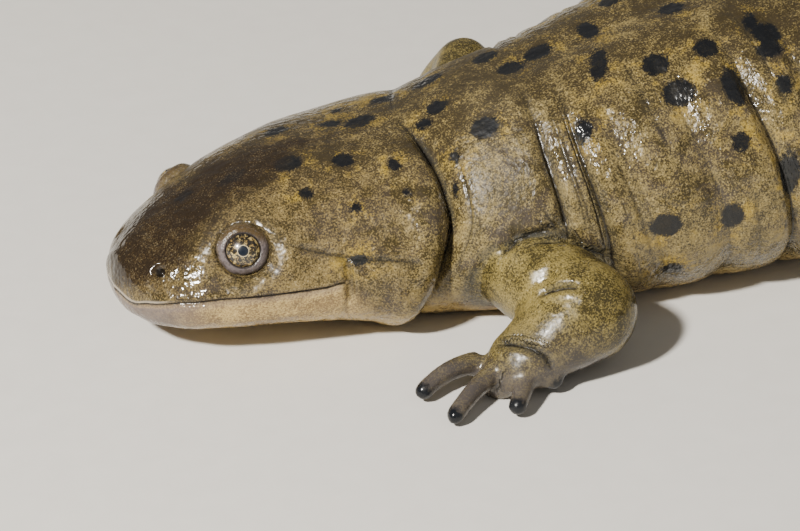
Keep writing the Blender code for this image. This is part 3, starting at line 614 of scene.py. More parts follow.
# %% Limb measures
HAND = {"palm_half": (3.4, 1.9), "toe_radius": 1.15}
LEG = {"upper": [(0, 5.2, 5.2), (0.5, 5.3, 5.3), (1, 4.7, 4.7)],
       "lower": [(0, 4.7, 4.7), (0.4, 4.5, 4.3), (0.8, 3.5, 3.2), (1, 3.1, 2.6)],
       "palm_half": (4.0, 2.0), "toe_radius": 1.25, "cell": 0.48}
LIMBS = {
    "left_arm": {
        "joints": [(-41.0, -9.0, 7.4), (-36.7, -21.0, 6.0), (-43.8, -22.2, 3.2)],
        "upper": [(0, 4.4, 4.4), (0.5, 4.8, 4.8), (1, 5.0, 5.0)],
        "lower": [(0, 5.0, 4.9), (0.45, 4.5, 4.3), (0.8, 3.9, 3.3), (1, 3.6, 2.7)],
        "palm": (-46.0, -22.4, 1.9), "heading": 220, "cell": 0.32, **HAND,
        "toes": [(-0.9, 177, 8.7), (-0.2, 212, 8.9), (0.6, 257, 5.8), (0.9, 332, 5.2)],
    },
    "right_arm": {
        "joints": [(-38.0, 9.0, 8.4), (-31.4, 21.6, 12.1), (-33.6, 26.4, 3.4)],
        "upper": [(0, 4.0, 4.0), (0.5, 3.8, 3.8), (1, 3.1, 3.1)],
        "lower": [(0, 3.1, 3.1), (0.4, 3.7, 3.4), (0.8, 3.2, 2.9), (1, 2.9, 2.5)],
        "palm": (-36.0, 28.2, 1.9), "heading": 143, "cell": 0.48, **HAND,
        "toes": [(0.55, 186, 7.8), (0.15, 154, 8.8), (-0.35, 118, 7.4), (-0.75, 76, 5.8)],
    },
    "left_leg": {
        "joints": [(32.0, -6.5, 8.2), (24.5, -24.5, 7.2), (35.0, -31.0, 3.4)],
        "palm": (34.6, -34.6, 2.0), "heading": 264, **LEG,
        "toes": [(-0.7, 206, 6.8), (-0.4, 236, 9.2), (0, 260, 10.6), (0.3, 286, 10.2),
                 (0.7, 320, 7.4)],
    },
    "right_leg": {
        "joints": [(32.0, 11.5, 8.2), (26.0, 30.0, 7.6), (37.5, 36.0, 3.4)],
        "palm": (38.0, 39.6, 2.0), "heading": 82, **LEG,
        "toes": [(0.7, 142, 6.8), (0.4, 112, 9.2), (0, 88, 10.6), (-0.3, 62, 10.2),
                 (-0.7, 28, 7.4)],
    },
}
print("limbs:", ", ".join(LIMBS))

# %% Limb surfaces
PALM_BACK, WRIST_SIZE, KNUCKLE_RISE, TOE_END = 0.9, (0, 3.0, 2.5), 0.6, 0.14
TOE_ROOT_BACK, TOE_TIP_RISE, TOE_SPREAD = 0.8, 0.8, 0.12
SUNK, CELL_SMOOTHING = 0.1, 8


def section_axes(direction):
    """Side and up directions of a limb's section, square to the way it runs."""
    side = np.cross(direction, (0, 0, 1.0))
    side /= np.linalg.norm(side, axis=-1, keepdims=True)
    return side, np.cross(side, direction)


def rounded_length(name, start, end, sizes, around=40):
    """Ellipses along a straight line, with half-round ends; sizes are (share, wide, tall)."""
    start, end = np.array(start, float), np.array(end, float)
    reach = np.linalg.norm(end - start)
    direction = (end - start) / reach
    side, up = section_axes(direction)
    first, last = sizes[0], sizes[-1]
    bend = np.linspace(1.45, 0.08, 9)
    share = np.linspace(0, 1, 24)
    far = np.concatenate([-first[1] * np.sin(bend), share * reach,
                          reach + last[1] * np.sin(bend[::-1])])
    wide = np.concatenate([first[1] * np.cos(bend), along([s[:2] for s in sizes], share),
                           last[1] * np.cos(bend[::-1])])
    tall = np.concatenate([first[2] * np.cos(bend), along([(s[0], s[2]) for s in sizes], share),
                           last[2] * np.cos(bend[::-1])])
    turn = np.linspace(0, 2 * math.pi, around, endpoint=False)
    rings = (start + direction * far[:, None, None]
             + side * (np.cos(turn) * wide[:, None])[..., None]
             + up * (np.sin(turn) * tall[:, None])[..., None])
    return tube(name, rings, start - direction * first[1], end + direction * last[1])


def toe(name, base, middle, tip, radius, around=24):
    """A tapering tube along the curve that three points draw, its end round and a little full."""
    bend = np.linspace(0.15, 1.5, 9)
    share = np.concatenate([np.linspace(0, 1 - TOE_END, 18), 1 - TOE_END * (1 - np.sin(bend))])
    size = np.interp(share, [0, 0.35, 0.7, 1 - TOE_END], [1.05, 0.95, 0.84, 0.86])
    size[18:] *= np.cos(bend)
    s = share[:, None]
    line = (1 - s)**2 * base + 2 * s * (1 - s) * middle + s**2 * tip
    heading = 2 * (1 - s) * (middle - base) + 2 * s * (tip - middle)
    heading /= np.linalg.norm(heading, axis=1, keepdims=True)
    side, up = section_axes(heading)
    turn = np.linspace(0, 2 * math.pi, around, endpoint=False)
    rings = line[:, None] + radius * size[:, None, None] * (
        np.cos(turn)[:, None] * side[:, None] + np.sin(turn)[:, None] * up[:, None])
    return tube(name, rings, base, tip + heading[-1] * 0.02)


print("toes in all:", sum(len(limb["toes"]) for limb in LIMBS.values()))


# %% Fused limbs
def limb_lengths(word, limb):
    """The closed tubes of one limb, before they are fused, and its toe tips."""
    root, elbow, wrist = (np.array(limb_join_shade, float) for limb_join_shade in limb["joints"])
    palm = np.array(limb["palm"], float)
    wide, thick = limb["palm_half"]
    heading = math.radians(limb["heading"])
    forward = np.array((math.cos(heading), math.sin(heading), 0.0))
    sideways = np.array((-forward[1], forward[0], 0.0))
    made = [rounded_length(word + "_upper", root, elbow, limb["upper"]),
            rounded_length(word + "_lower", elbow, wrist, limb["lower"]),
            rounded_length(word + "_palm", wrist, palm - forward * PALM_BACK,
                           [WRIST_SIZE, (1, wide, thick)])]
    tips = []
    for k, (share, degrees, reach) in enumerate(limb["toes"]):
        aim = math.radians(degrees)
        tip = palm + reach * np.array((math.cos(aim), math.sin(aim), 0.0))
        tip[2] = TOE_TIP_RISE * limb["toe_radius"]
        base = palm - TOE_ROOT_BACK * forward + share * wide * sideways
        middle = (base + tip) / 2 + TOE_SPREAD * reach * share * sideways
        middle[2] = palm[2] + KNUCKLE_RISE
        made.append(toe(word + "_toe_" + str(k), base, middle, tip, limb["toe_radius"]))
        tips.append(tip)
    return made, tips


def evaluated(made):
    """Applies an object's modifiers to its mesh."""
    graph = bpy.context.evaluated_depsgraph_get()
    graph.update()
    baked = bpy.data.meshes.new_from_object(made.evaluated_get(graph))
    made.modifiers.clear()
    made.data = baked


def joined(name, pieces):
    """One object with the meshes of several, which are then removed."""
    points, faces, count = [], [], 0
    for piece in pieces:
        spots = read_points(piece)
        faces += [[v + count for v in face.vertices] for face in piece.data.polygons]
        points.append(spots)
        count += len(spots)
        bpy.data.objects.remove(piece)
    return mesh_piece(name, np.concatenate(points), faces)


def smoothed(points, links, rounds, share=0.5, weight=None):
    """Moves each point a share of the way to its neighbours' mean, over and over."""
    first, second = links.T
    count = np.bincount(first, minlength=len(points)) + np.bincount(second, minlength=len(points))
    count = np.maximum(count, 1)[:, None]
    weight = share if weight is None else share * weight[:, None]
    for _ in range(rounds):
        total = np.zeros_like(points)
        for axis in range(points.shape[1]):
            total[:, axis] = (np.bincount(first, points[second, axis], len(points))
                              + np.bincount(second, points[first, axis], len(points)))
        points = points + weight * (total / count - points)
    return points


def edge_links(made):
    """The two vertices of each edge, as an array."""
    return fetched(made.data.edges, "vertices", 2)


def fused_limb(word, limb):
    """Tubes joined, remeshed in cells, smoothed and pressed onto the floor."""
    pieces, tips = limb_lengths(word, limb)
    made = joined(word, pieces)
    cells = made.modifiers.new("fuse", "REMESH")
    cells.mode, cells.voxel_size, cells.use_smooth_shade = "VOXEL", limb["cell"] * MM, True
    evaluated(made)
    points = smoothed(read_points(made), edge_links(made), CELL_SMOOTHING)
    points[:, 2] = np.maximum(points[:, 2] - SUNK, 0.0)
    write_points(made, points)
    return made, tips


TOE_TIPS, limb_pieces = [], []
for word, limb in LIMBS.items():
    made, tips = fused_limb(word, limb)
    limb_pieces.append(made)
    TOE_TIPS += tips
    print(word, len(made.data.polygons), "faces,", round(signed_volume(made), 2), "cm3")

# %% [markdown]
# ## One skin
#
# The four limbs are added to the body with one exact Boolean union, which leaves a sharp crease
# where they meet. The material numbers tell the limb faces from the body's, so the crease is the
# set of vertices that touch both, and the points near it are smoothed until it is a soft fold.

# %% Union
for made in [salamander] + limb_pieces:
    for word in ("body", "limb"):
        made.data.materials.append(bpy.data.materials.get(word) or bpy.data.materials.new(word))
for made in limb_pieces:
    made.data.polygons.foreach_set("material_index", np.ones(len(made.data.polygons), np.int32))
group = bpy.data.collections.new("limbs_to_join")
bpy.context.scene.collection.children.link(group)
for made in limb_pieces:
    group.objects.link(made)
union = salamander.modifiers.new("limbs", "BOOLEAN")
union.operation, union.solver = "UNION", "EXACT"
union.operand_type, union.collection = "COLLECTION", group
evaluated(salamander)
for made in limb_pieces:
    bpy.data.objects.remove(made)
bpy.data.collections.remove(group)
print("skin after the union:", len(salamander.data.vertices), "points,",
      round(signed_volume(salamander), 2), "cm3")

# %% Soft junctions
SOFT_REACH, SOFT_ROUNDS, SHARE_ROUNDS, SEARCH_RADIUS = 1.8, 24, 18, 4.0


def face_corners(made):
    """The vertex of every face corner, and the material number of the face it belongs to."""
    faces = made.data.polygons
    kind = np.repeat(fetched(faces, "material_index"), fetched(faces, "loop_total"))
    return fetched(made.data.loops, "vertex_index"), kind


corner_vertex, corner_kind = face_corners(salamander)
points = read_points(salamander)
touching = np.bincount(corner_vertex, minlength=len(points))
limb_share = np.bincount(corner_vertex, corner_kind, len(points)) / np.maximum(touching, 1)
links = edge_links(salamander)
crease = ((limb_share > 0) & (limb_share < 1)).astype(float)


def nearest_distance(points, targets, limit):
    """Distance from each point to the nearest target, at most limit, by whole arrays."""
    found = np.full(len(points), limit)
    for start in range(0, len(targets), 64):
        some = targets[start:start + 64]
        low, high = some.min(0) - limit, some.max(0) + limit
        near = np.flatnonzero(((points > low) & (points < high)).all(1))
        gap = np.linalg.norm(points[near, None] - some[None], axis=2).min(1)
        found[near] = np.minimum(found[near], gap)
    return found


to_crease = nearest_distance(points, points[crease > 0], SEARCH_RADIUS)
soft = np.clip(1 - to_crease / SOFT_REACH, 0, 1)
points = smoothed(points, links, SOFT_ROUNDS, 0.5, soft * (points[:, 2] > 0.01))
points[:, 2] = np.maximum(points[:, 2], 0.0)
write_points(salamander, points)
limb_share = smoothed(limb_share[:, None], links, SHARE_ROUNDS)[:, 0]
print("crease points", int(crease.sum()), "softened", int((soft > 0).sum()))

# %% [markdown]
# ## The eyes' places
#
# Each eye is a ball set well into the head, looking out, forward and up. The skin is pushed in
# behind the ball, so that it never shows through it, and a lid ring covers the rim of the hole.
# Outside the lids the skin may climb only as an uneven bank, and a soft limit holds it there.

# %% Eye frames and sockets
GAZE = (-0.36, 0.82, 0.44)
LID_EDGE, BANK_HEIGHT, BANK_FADES, BANK_SOFTNESS = 2.52, 0.82, (5.4, 2.9), 0.40
HOLE, HOLE_DEPTH, REAR, FAR_AWAY = (2.1, 2.64), 0.6, -2.5, 9.0


def eye_frame(side):
    """Centre of an eye in millimetres, its gaze, the way to its front corner and its top."""
    turn = math.radians(along(HEADING, EYE_STATION))
    shift = RIGHT_EYE_SHIFT if side < 0 else (0.0, 0.0, 0.0)
    centre = place(EYE_STATION + shift[0], side * (EYE_OUT + shift[1]), EYE_HEIGHT + shift[2])
    forward, out, rise = GAZE
    ahead = np.array((math.cos(turn), math.sin(turn), 0.0))
    left = np.array((math.sin(turn), -math.cos(turn), 0.0))
    gaze = ahead * forward + left * out * side + np.array((0, 0, rise))
    gaze /= np.linalg.norm(gaze)
    top = np.array((0, 0, 1.0)) - gaze * gaze[2]
    top /= np.linalg.norm(top)
    return centre, gaze, np.cross(gaze, top), top


def from_axis(points, side):
    """Distance of points from the line of sight, and how far they lie along it."""
    centre, gaze, _, _ = eye_frame(side)
    ahead = (points - centre) @ gaze
    return np.linalg.norm(points - centre - ahead[:, None] * gaze, axis=1), ahead


def eased(low, high, value):
    """0 below low, 1 above high, with a smooth climb between; or the other way round."""
    t = np.clip((value - low) / (high - low), 0, 1)
    return t * t * (3 - 2 * t)


def banked(points, side, across, ahead):
    """Skin pressed back along the gaze, by s ln(1 + e^(x/s)) where it stands x past its limit.

    The limit is a level rim to the lids' edge and then a bank, steeper and flatter in turns.
    """
    centre, gaze, corner, top = eye_frame(side)
    turn = np.arctan2((points - centre) @ top, (points - centre) @ corner)
    slope = 0.80 + 0.30 * np.sin(3 * turn + 0.6) + 0.16 * np.sin(8 * turn)
    hole = eased(*HOLE, across)
    bank = BANK_HEIGHT + slope * np.maximum(across - LID_EDGE, 0)
    limit = bank * hole - HOLE_DEPTH * (1 - hole)
    over = BANK_SOFTNESS * np.logaddexp(0, (ahead - limit) / BANK_SOFTNESS)
    return points - (over * (ahead > REAR) * eased(*BANK_FADES, across))[:, None] * gaze


points = read_points(salamander)
eye_gap = np.full(len(points), FAR_AWAY)
for side in (1, -1):
    across, ahead = from_axis(points, side)
    points = banked(points, side, across, ahead)
    eye_gap = np.where(ahead > REAR, np.minimum(eye_gap, across), eye_gap)
    rim = ahead[(ahead > REAR) & (across > 2.6) & (across < 2.9)]
    print("skin round the eye lay", round(float(rim.min()), 2), "to", round(float(rim.max()), 2),
          "mm along the gaze before it was pressed back")
write_points(salamander, points)

# %% [markdown]
# ## Fine folds and the nostrils
#
# Where a joint bends or the skin is loose it folds along short lines: behind the eye, down the
# cheek, over the armpit, before the shoulder, on top of the arm, inside the elbow, round the
# wrist and between the toes. Each has a depth, a half width and a line of points on the skin, and
# the mesh is pressed in along it. The nostrils are two small pits, each with a low rim.

# %% Folds along lines
PIT_DEPTH, PIT_RADIUS, RIM_HEIGHT, RIM_RADIUS, RIM_WIDTH = 0.80, 0.48, 0.10, 1.0, 0.4
RIGHT_NOSTRIL_LOWER = 0.12
FOLD_LINES = {
    "temple": (0.28, 0.26, [(-63.8, -7.8, 12.4), (-61.5, -8.6, 11.8), (-59.5, -9.1, 11.1),
                            (-57.3, -9.8, 10.4), (-56.0, -10.3, 10.2), (-54.4, -11.0, 10.2),
                            (-52.8, -11.5, 10.0), (-51.4, -11.9, 9.8), (-50.4, -12.5, 9.5)]),
    "cheek": (0.16, 0.30, [(-57.2, -9.9, 10.2), (-57.0, -10.7, 8.9), (-57.0, -10.9, 6.2)]),
    "armpit": (0.45, 0.42, [(-42.5, -14.3, 9.6), (-42.0, -14.1, 10.6), (-40.5, -13.9, 11.3),
                            (-39.1, -14.4, 11.7), (-37.6, -14.7, 11.8)]),
    "shoulder": (0.28, 0.30, [(-38.4, -14.0, 14.1), (-37.3, -14.6, 12.3), (-36.1, -15.0, 10.9)]),
    "arm_top": (0.50, 0.45, [(-40.6, -15.4, 11.0), (-38.7, -15.5, 11.3), (-37.1, -15.6, 11.0),
                             (-35.4, -15.6, 10.3), (-34.1, -16.0, 9.6), (-32.6, -16.0, 8.5),
                             (-31.2, -15.6, 7.4)]),
    "elbow": (0.50, 0.34, [(-41.7, -20.5, 8.4), (-41.1, -20.8, 9.0), (-39.9, -21.7, 9.7),
                           (-39.0, -22.4, 10.0), (-38.6, -23.1, 10.0)]),
    "elbow_hollow": (0.45, 0.80, [(-41.4, -19.9, 8.9), (-40.7, -19.8, 9.7), (-39.9, -20.4, 10.1)]),
    "wrist": (0.42, 0.36, [(-46.5, -21.0, 4.4), (-45.3, -22.7, 5.3), (-43.9, -24.5, 5.3),
                           (-42.9, -25.5, 4.5), (-42.3, -25.7, 3.2)]),
    "wrist_above": (0.22, 0.30, [(-45.6, -20.9, 5.0), (-44.3, -22.6, 5.8), (-43.0, -24.2, 5.8)]),
    "toe_gap": (0.28, 0.48, [(-47.6, -24.5, 1.0), (-47.2, -24.1, 1.7), (-46.7, -23.8, 2.5),
                             (-46.1, -23.9, 3.4)]),
}


def line_distance(points, outward, line):
    """Distance to a line of straight lengths, negative on its one side, and how near its middle."""
    line = np.array(line, float)
    best, middle = np.full(len(points), FAR_AWAY), np.zeros(len(points))
    near = np.flatnonzero(((points > line.min(0) - 3) & (points < line.max(0) + 3)).all(1))
    for k, (start, end) in enumerate(zip(line[:-1], line[1:])):
        way = end - start
        share = (points[near] - start) @ way / (way @ way)
        offset = points[near] - start - np.clip(share, 0, 1)[:, None] * way
        gap = np.linalg.norm(offset, axis=1)
        side = np.sign(np.einsum("ij,ij->i", np.cross(outward[near], way), offset))
        closer = gap < np.abs(best[near])
        best[near] = np.where(closer, gap * side, best[near])
        reach = (k + np.clip(share, 0, 1)) / (len(line) - 1)
        ends = np.clip(4.5 * np.minimum(reach, 1 - reach) + 0.15, 0, 1)
        middle[near] = np.where(closer, ends, middle[near])
    return best, middle


def read_normals(made):
    """The direction out of the skin at every vertex."""
    return fetched(made.data.vertices, "normal", 3, np.float32).astype(float)


def folded(points, outward):
    """Skin pressed in along the lines; with it the signed distance to a line and its strength."""
    nearest, strength = np.full(len(points), FAR_AWAY), np.zeros(len(points))
    for depth, half_width, line in FOLD_LINES.values():
        side, middle = line_distance(points, outward, line)
        gap = np.abs(side)
        puff = 0.25 * hill(gap - 2.4 * half_width, half_width)
        points = points + outward * (depth * middle * (puff - hill(gap, half_width)))[:, None]
        closer = (gap < np.abs(nearest)) & (half_width < 0.6)
        strength = np.where(closer, min(1.0, 2.5 * depth) * middle, strength)
        nearest = np.where(closer, side, nearest)
    return points, nearest, strength


def pierced(points, outward):
    """Skin with both nostrils pressed in, and how far each point lies from the nearer one."""
    nearest = np.full(len(points), FAR_AWAY)
    for turn in (NOSTRIL_ANGLE, math.pi - NOSTRIL_ANGLE + RIGHT_NOSTRIL_LOWER):
        gap = np.linalg.norm(points - skin(np.array(NOSTRIL_STATION), np.array(turn)), axis=1)
        rim = RIM_HEIGHT * hill(gap - RIM_RADIUS, RIM_WIDTH)
        points = points - outward * (PIT_DEPTH * hill(gap, PIT_RADIUS) - rim)[:, None]
        nearest = np.minimum(nearest, gap)
    return points, nearest


outward = read_normals(salamander)
points, fold_side, fold_share = folded(points, outward)
points, nostril_gap = pierced(points, outward)
points[:, 2] = np.maximum(points[:, 2], 0.0)
write_points(salamander, points)
print(len(FOLD_LINES), "folds; skin points at the nostrils:", int((nostril_gap < 0.4).sum()))

# %% [markdown]
# ## What the skin knows about itself
#
# The finish needs to know where it is: how far from the nearest spot's edge, how high over the
# mouth, how far from a fold, how far from a toe tip. Each is worked out once for every vertex
# and kept as an attribute. Distances change evenly over a face, so the finish can cut a sharp
# and ragged edge from them that is finer than the mesh. A spot is (station, angle, half length
# along the body, half width round it, tilt in degrees).

# %% Spots
SPOTS = [(55.0, 1.87, 1.2, 1.1, 0), (58.9, 1.48, 1.25, 1.2, 0), (50.9, 1.66, 1.0, 1.5, 0),
         (49.5, 1.20, 0.75, 2.4, -18), (45.5, 1.65, 1.5, 1.1, 10), (42.4, 1.57, 1.3, 1.2, 15),
         (40.6, 1.89, 1.3, 1.3, 0), (54.0, 1.04, 1.25, 1.35, 0), (54.8, 0.80, 1.4, 1.4, 20),
         (58.9, 1.02, 1.25, 1.15, 0), (59.8, 0.73, 1.2, 2.0, 0), (65.4, 0.98, 1.35, 1.4, 0),
         (64.4, 1.10, 0.7, 1.3, -20), (64.9, 0.88, 1.5, 0.9, 0), (64.8, 0.66, 0.8, 1.1, 0),
         (58.8, 0.42, 0.9, 1.0, 0), (46.5, 0.73, 0.7, 1.2, -10), (38.2, 0.95, 1.3, 1.25, 0),
         (34.5, 1.39, 1.1, 1.1, 0), (32.7, 1.26, 0.8, 0.7, 0), (34.9, 1.95, 1.4, 1.1, 0),
         (34.8, 0.78, 0.5, 0.8, 0), (34.3, 0.52, 0.45, 0.8, 0), (51.8, 0.04, 1.2, 1.3, 0),
         (57.6, 0.0, 0.95, 1.5, 0), (52.9, -0.32, 0.9, 0.9, 0), (63.8, 0.16, 1.0, 2.5, 0),
         (27.2, 1.69, 1.5, 1.1, 0), (23.1, 1.13, 1.1, 1.0, 10), (27.7, 0.89, 0.65, 0.8, 0),
         (17.7, 0.89, 0.75, 0.7, 0), (17.9, 1.31, 1.4, 1.1, 0), (21.9, 0.63, 0.6, 0.5, 0),
         (30.7, 2.00, 1.2, 0.9, 0), (26.4, 2.10, 0.6, 0.5, 0), (24.7, 1.83, 1.0, 0.7, 0),
         (27.9, 0.62, 0.45, 0.45, 0), (19.7, 1.98, 1.3, 0.9, 0), (20.9, 0.25, 0.9, 0.5, 0),
         (8.2, 1.74, 0.9, 0.6, 0), (12.6, 1.48, 1.3, 0.7, 0)]
SPOT_SIZES, TAIL_START, TAIL_SPOTS, TRIES = (0.75, 1.35), 110, 0.8, 30
rng = np.random.default_rng(7)


def scattered_spots(wanted, low, high, angle_low, angle_high, apart):
    """Spots dropped at random, none closer than a distance apart to another."""
    found = []
    for _ in range(wanted * TRIES):
        station = rng.uniform(low, high)
        angle = rng.uniform(angle_low, angle_high)
        girth = float(section_radius(station, angle))
        near = [math.hypot(station - s, (angle - a) * girth) for s, a, *_ in SPOTS + found]
        if min(near) > apart + rng.random() and len(found) < wanted:
            size = rng.uniform(*SPOT_SIZES) * (1.0 if station < TAIL_START else TAIL_SPOTS)
            found.append((station, angle, size, size * rng.uniform(0.8, 1.6), rng.uniform(-25, 25)))
    return found


SPOTS += scattered_spots(16, 20, 68, 2.15, 3.5, 5.0)
SPOTS += scattered_spots(60, 68.5, 122, -0.2, 3.4, 5.0)
SPOTS += scattered_spots(30, 122, 205, -0.2, 3.4, 4.0)


def spot_edge(station, angle):
    """Signed distance in millimetres to the nearest spot's edge, negative inside a spot."""
    best = np.full(len(station), FAR_AWAY)
    for at, turn, half_along, half_round, tilt in SPOTS:
        girth = float(section_radius(at, turn))
        ahead, up = station - at, (angle - turn) * girth
        lean_over = math.radians(tilt)
        a = ahead * math.cos(lean_over) + up * math.sin(lean_over)
        b = up * math.cos(lean_over) - ahead * math.sin(lean_over)
        size = min(half_along, half_round)
        gap = (np.sqrt((a / half_along)**2 + (b / half_round)**2) - 1) * size
        best = np.minimum(best, gap)
    return best


print(len(SPOTS), "spots")

# %% Attributes
PALE_LINE = MOUTH_LINE + [(22, 5.0), (28, 3.6), (34, 4.6), (44, 4.4), (52, 3.2), (100, 3.4),
                          (130, 2.4), (218, 1.0)]
CROWN_LINE = [(0, 0.10), (3, 0.25), (6, 0.62), (9, 0.95), (14, 1.05), (18, 1.30), (22, 1.52),
              (26, 1.62), (218, 1.62)]
OFF_BODY = 6.0


def keep(made, name, values):
    """Stores one number a vertex on the mesh."""
    attribute = made.data.attributes.new(name, "FLOAT", "POINT")
    attribute.data.foreach_set("value", np.asarray(values, np.float32))


def nearest_fold(station, rise):
    """Distance past the nearest fold or groove, negative before it, and how strong it is there."""
    ring = station.copy()
    for _ in range(8):
        ring = station - lean(ring, rise)
    sides = [ring - GULAR]
    strength = [1.6 * faded(FOLD_SEEN, rise)]
    for groove, depth, wide in GROOVES:
        sides.append(ring - groove)
        strength.append(depth * min(1.0, 0.45 / wide) * faded(GROOVES_SEEN, rise))
    for at, height, depth in WRINKLES:
        sides.append(ring - at)
        strength.append(depth * hill(rise - height, 0.4))
    sides, strength = np.array(sides), np.array(strength)
    which = np.abs(sides).argmin(0)
    row = np.arange(len(station))
    return sides[which, row], strength[which, row]


station, out, height = unplace(points)
angle = np.arctan2(height - along(WIDEST, station), out)
angle = np.where(angle < -math.pi / 2, angle + 2 * math.pi, angle)
rise = np.arcsin(np.sin(angle))
crease_side, crease_share = nearest_fold(station, rise)
on_body = np.clip(1 - 1.6 * limb_share, 0, 1)
toe_gap = np.min([np.linalg.norm(points - tip, axis=1) for tip in TOE_TIPS], axis=0)
off_body = OFF_BODY * (1 - on_body)
for name, values in {
    "station": station, "rise": rise, "limb": limb_share, "eye_gap": eye_gap,
    "spot_edge": spot_edge(station, angle) + off_body,
    "over_mouth": height - along(PALE_LINE, station) + off_body,
    "over_crown": (rise - along(CROWN_LINE, station)) * section_radius(station, angle),
    "crease_side": crease_side,
    "crease_share": crease_share * on_body * eased(1.1, 0.7, np.abs(crease_side)),
    "fold_side": np.clip(fold_side, -2, 2),
    "fold_share": fold_share * eased(1.1, 0.7, np.abs(fold_side)),
    "nostril_gap": nostril_gap, "toe_gap": np.minimum(toe_gap, 15.0),
}.items():
    keep(salamander, name, values)
print("attributes:", [a.name for a in salamander.data.attributes if a.data_type == "FLOAT"])

# %% [markdown]
# ## The finish of the skin
#
# The living skin is olive gold clouded with grey brown, peppered with fine black and straw
# grains, and marked with ragged black spots that often carry a yellow cloud beside them. The
# snout and crown are dark brown, the lower jaw and throat pale cream, the limbs yellower and the
# toe tips black. It is wet: the gloss is sharp, and a fine pebbled bump breaks it into glints,
# less so on the limbs. The loose skin just behind the head is darker and duller. Shade is also
# painted into the colour: blue-grey beside each fold and where the limbs join, near black in the
# fold lines, the mouth slit, the nostrils and round the lids. A pale painted highlight runs along
# the front of the upper lip.
#
# The shares and distances that the coats have in common are kept on the finish itself, and each
# coat is a list of (share, colour), laid one over the other.

# %% Skin colours and regions
GROUND, GOLD = (0.038, 0.029, 0.012), (0.250, 0.188, 0.070)
BACK_GROUND, YELLOW = (0.036, 0.027, 0.013), (0.360, 0.240, 0.032)
MAUVE_GROUND, CROWN_GROUND = (0.050, 0.039, 0.028), (0.018, 0.012, 0.007)
CROWN_GOLD, HEAD_GOLD = (0.046, 0.030, 0.013), (0.205, 0.148, 0.058)
PALE_GROUND, CREAM = (0.215, 0.140, 0.060), (0.530, 0.380, 0.145)
LIMB_GROUND, LIMB_GOLD = (0.034, 0.027, 0.010), (0.220, 0.168, 0.048)
MAUVE, TOE_GREY, BLACK = (0.120, 0.098, 0.100), (0.070, 0.061, 0.062), (0.006, 0.007, 0.009)
# Painted shade: the blue-grey goes beside the folds and where the limbs join, the near black into the
# fold lines, the mouth slit, the nostrils and round the lids.
CREASE_SHADOW, SHADE_BLUE_GREY = (0.008, 0.007, 0.006), (0.040, 0.043, 0.040)
# The third colour here is a painted highlight along the front of the upper lip.
STRAW, SPECK, LIP_HIGHLIGHT = (0.62, 0.52, 0.30), (0.012, 0.010, 0.006), (0.42, 0.36, 0.28)
NOISES = {"broad": (0.30, 3.0, 0.6, 0.5), "clouds": (0.17, 3.0, 0.6, 0.4),
          "patches": (0.55, 3.0, 0.62), "ragged": (1.9, 3.0, 0.65), "fine": (5.6, 2.0, 0.70),
          "specks": (8.0, 1.0, 0.5), "straw": (7.0, 1.0, 0.5)}
KEPT = ("station", "rise", "limb", "eye_gap", "spot_edge", "over_mouth", "over_crown", "crease_side",
        "crease_share", "fold_side", "fold_share", "nostril_gap", "toe_gap")


def painted(f, colour, coats):
    """Lays colours over one another, each by its own share."""
    for share, paint in coats:
        colour = f.mix(share, colour, paint)
    return colour


def add_fields(f):
    """Keeps on the finish the attributes, the noises and the regions that its coats share."""
    f.where = f.place()
    for name in KEPT:
        setattr(f, name, f.attribute(name))
    for name, numbers in NOISES.items():
        setattr(f, name, f.noise(f.where, *numbers))
    f.ragged = f.ragged - 0.5
    f.on_limb, f.back = f.limb.step(0.1, 0.8), f.rise.step(0.35, 1.25)
    f.snout = f.station.step(19.2, 18.0)
    f.neck = hill_of(f.station - 39.2, 2.8) * (1 - f.on_limb)
    f.crown = (f.over_crown + 6.0 * (f.broad - 0.5)).step(-1.6, 2.4)
    jaw = (f.over_mouth + 0.4 * f.ragged).step(0.05, -0.35) * f.snout
    throat = (1 - f.snout) * (f.over_mouth + 2.4 * f.ragged).step(1.6, -2.5) * 0.75
    f.pale = (jaw + throat) * (1 - f.on_limb)


print(len(NOISES), "noises and", len(KEPT), "attributes on the finish")


# %% Skin coats
def stipple(f):
    """Gold grains on a dark ground, thinner on back and neck; then straw and black specks."""
    ground = painted(f, GROUND, [(f.broad.step(0.44, 0.60), MAUVE_GROUND), (f.back, BACK_GROUND),
                                 (f.on_limb, LIMB_GROUND), (f.crown, CROWN_GROUND),
                                 (f.pale, PALE_GROUND)])
    beside = (f.spot_edge + 1.6 * f.ragged).step(2.2, 0.3) * f.patches.step(0.50, 0.60)
    gold = painted(f, GOLD, [(f.station.step(34.0, 20.0), HEAD_GOLD), (beside * 0.8, YELLOW),
                             (f.on_limb, LIMB_GOLD), (f.crown, CROWN_GOLD), (f.pale, CREAM)])
    thick = 0.45 * (f.clouds - 0.5) + 0.50 * (f.patches - 0.5) + 0.12 * f.ragged + 0.02 * f.pale
    thick = thick - 0.085 * f.back * (1 - f.on_limb) - 0.035 - 0.05 * f.neck
    grains = (f.fine + thick).step(0.33, 0.64)
    return painted(f, ground, [
        (grains, gold),
        (f.straw.step(0.52, 0.72) * grains * 0.5, f.mix(0.45, gold, STRAW)),
        (f.specks.step(0.60, 0.76) * (0.45 - 0.25 * f.pale), SPECK)])


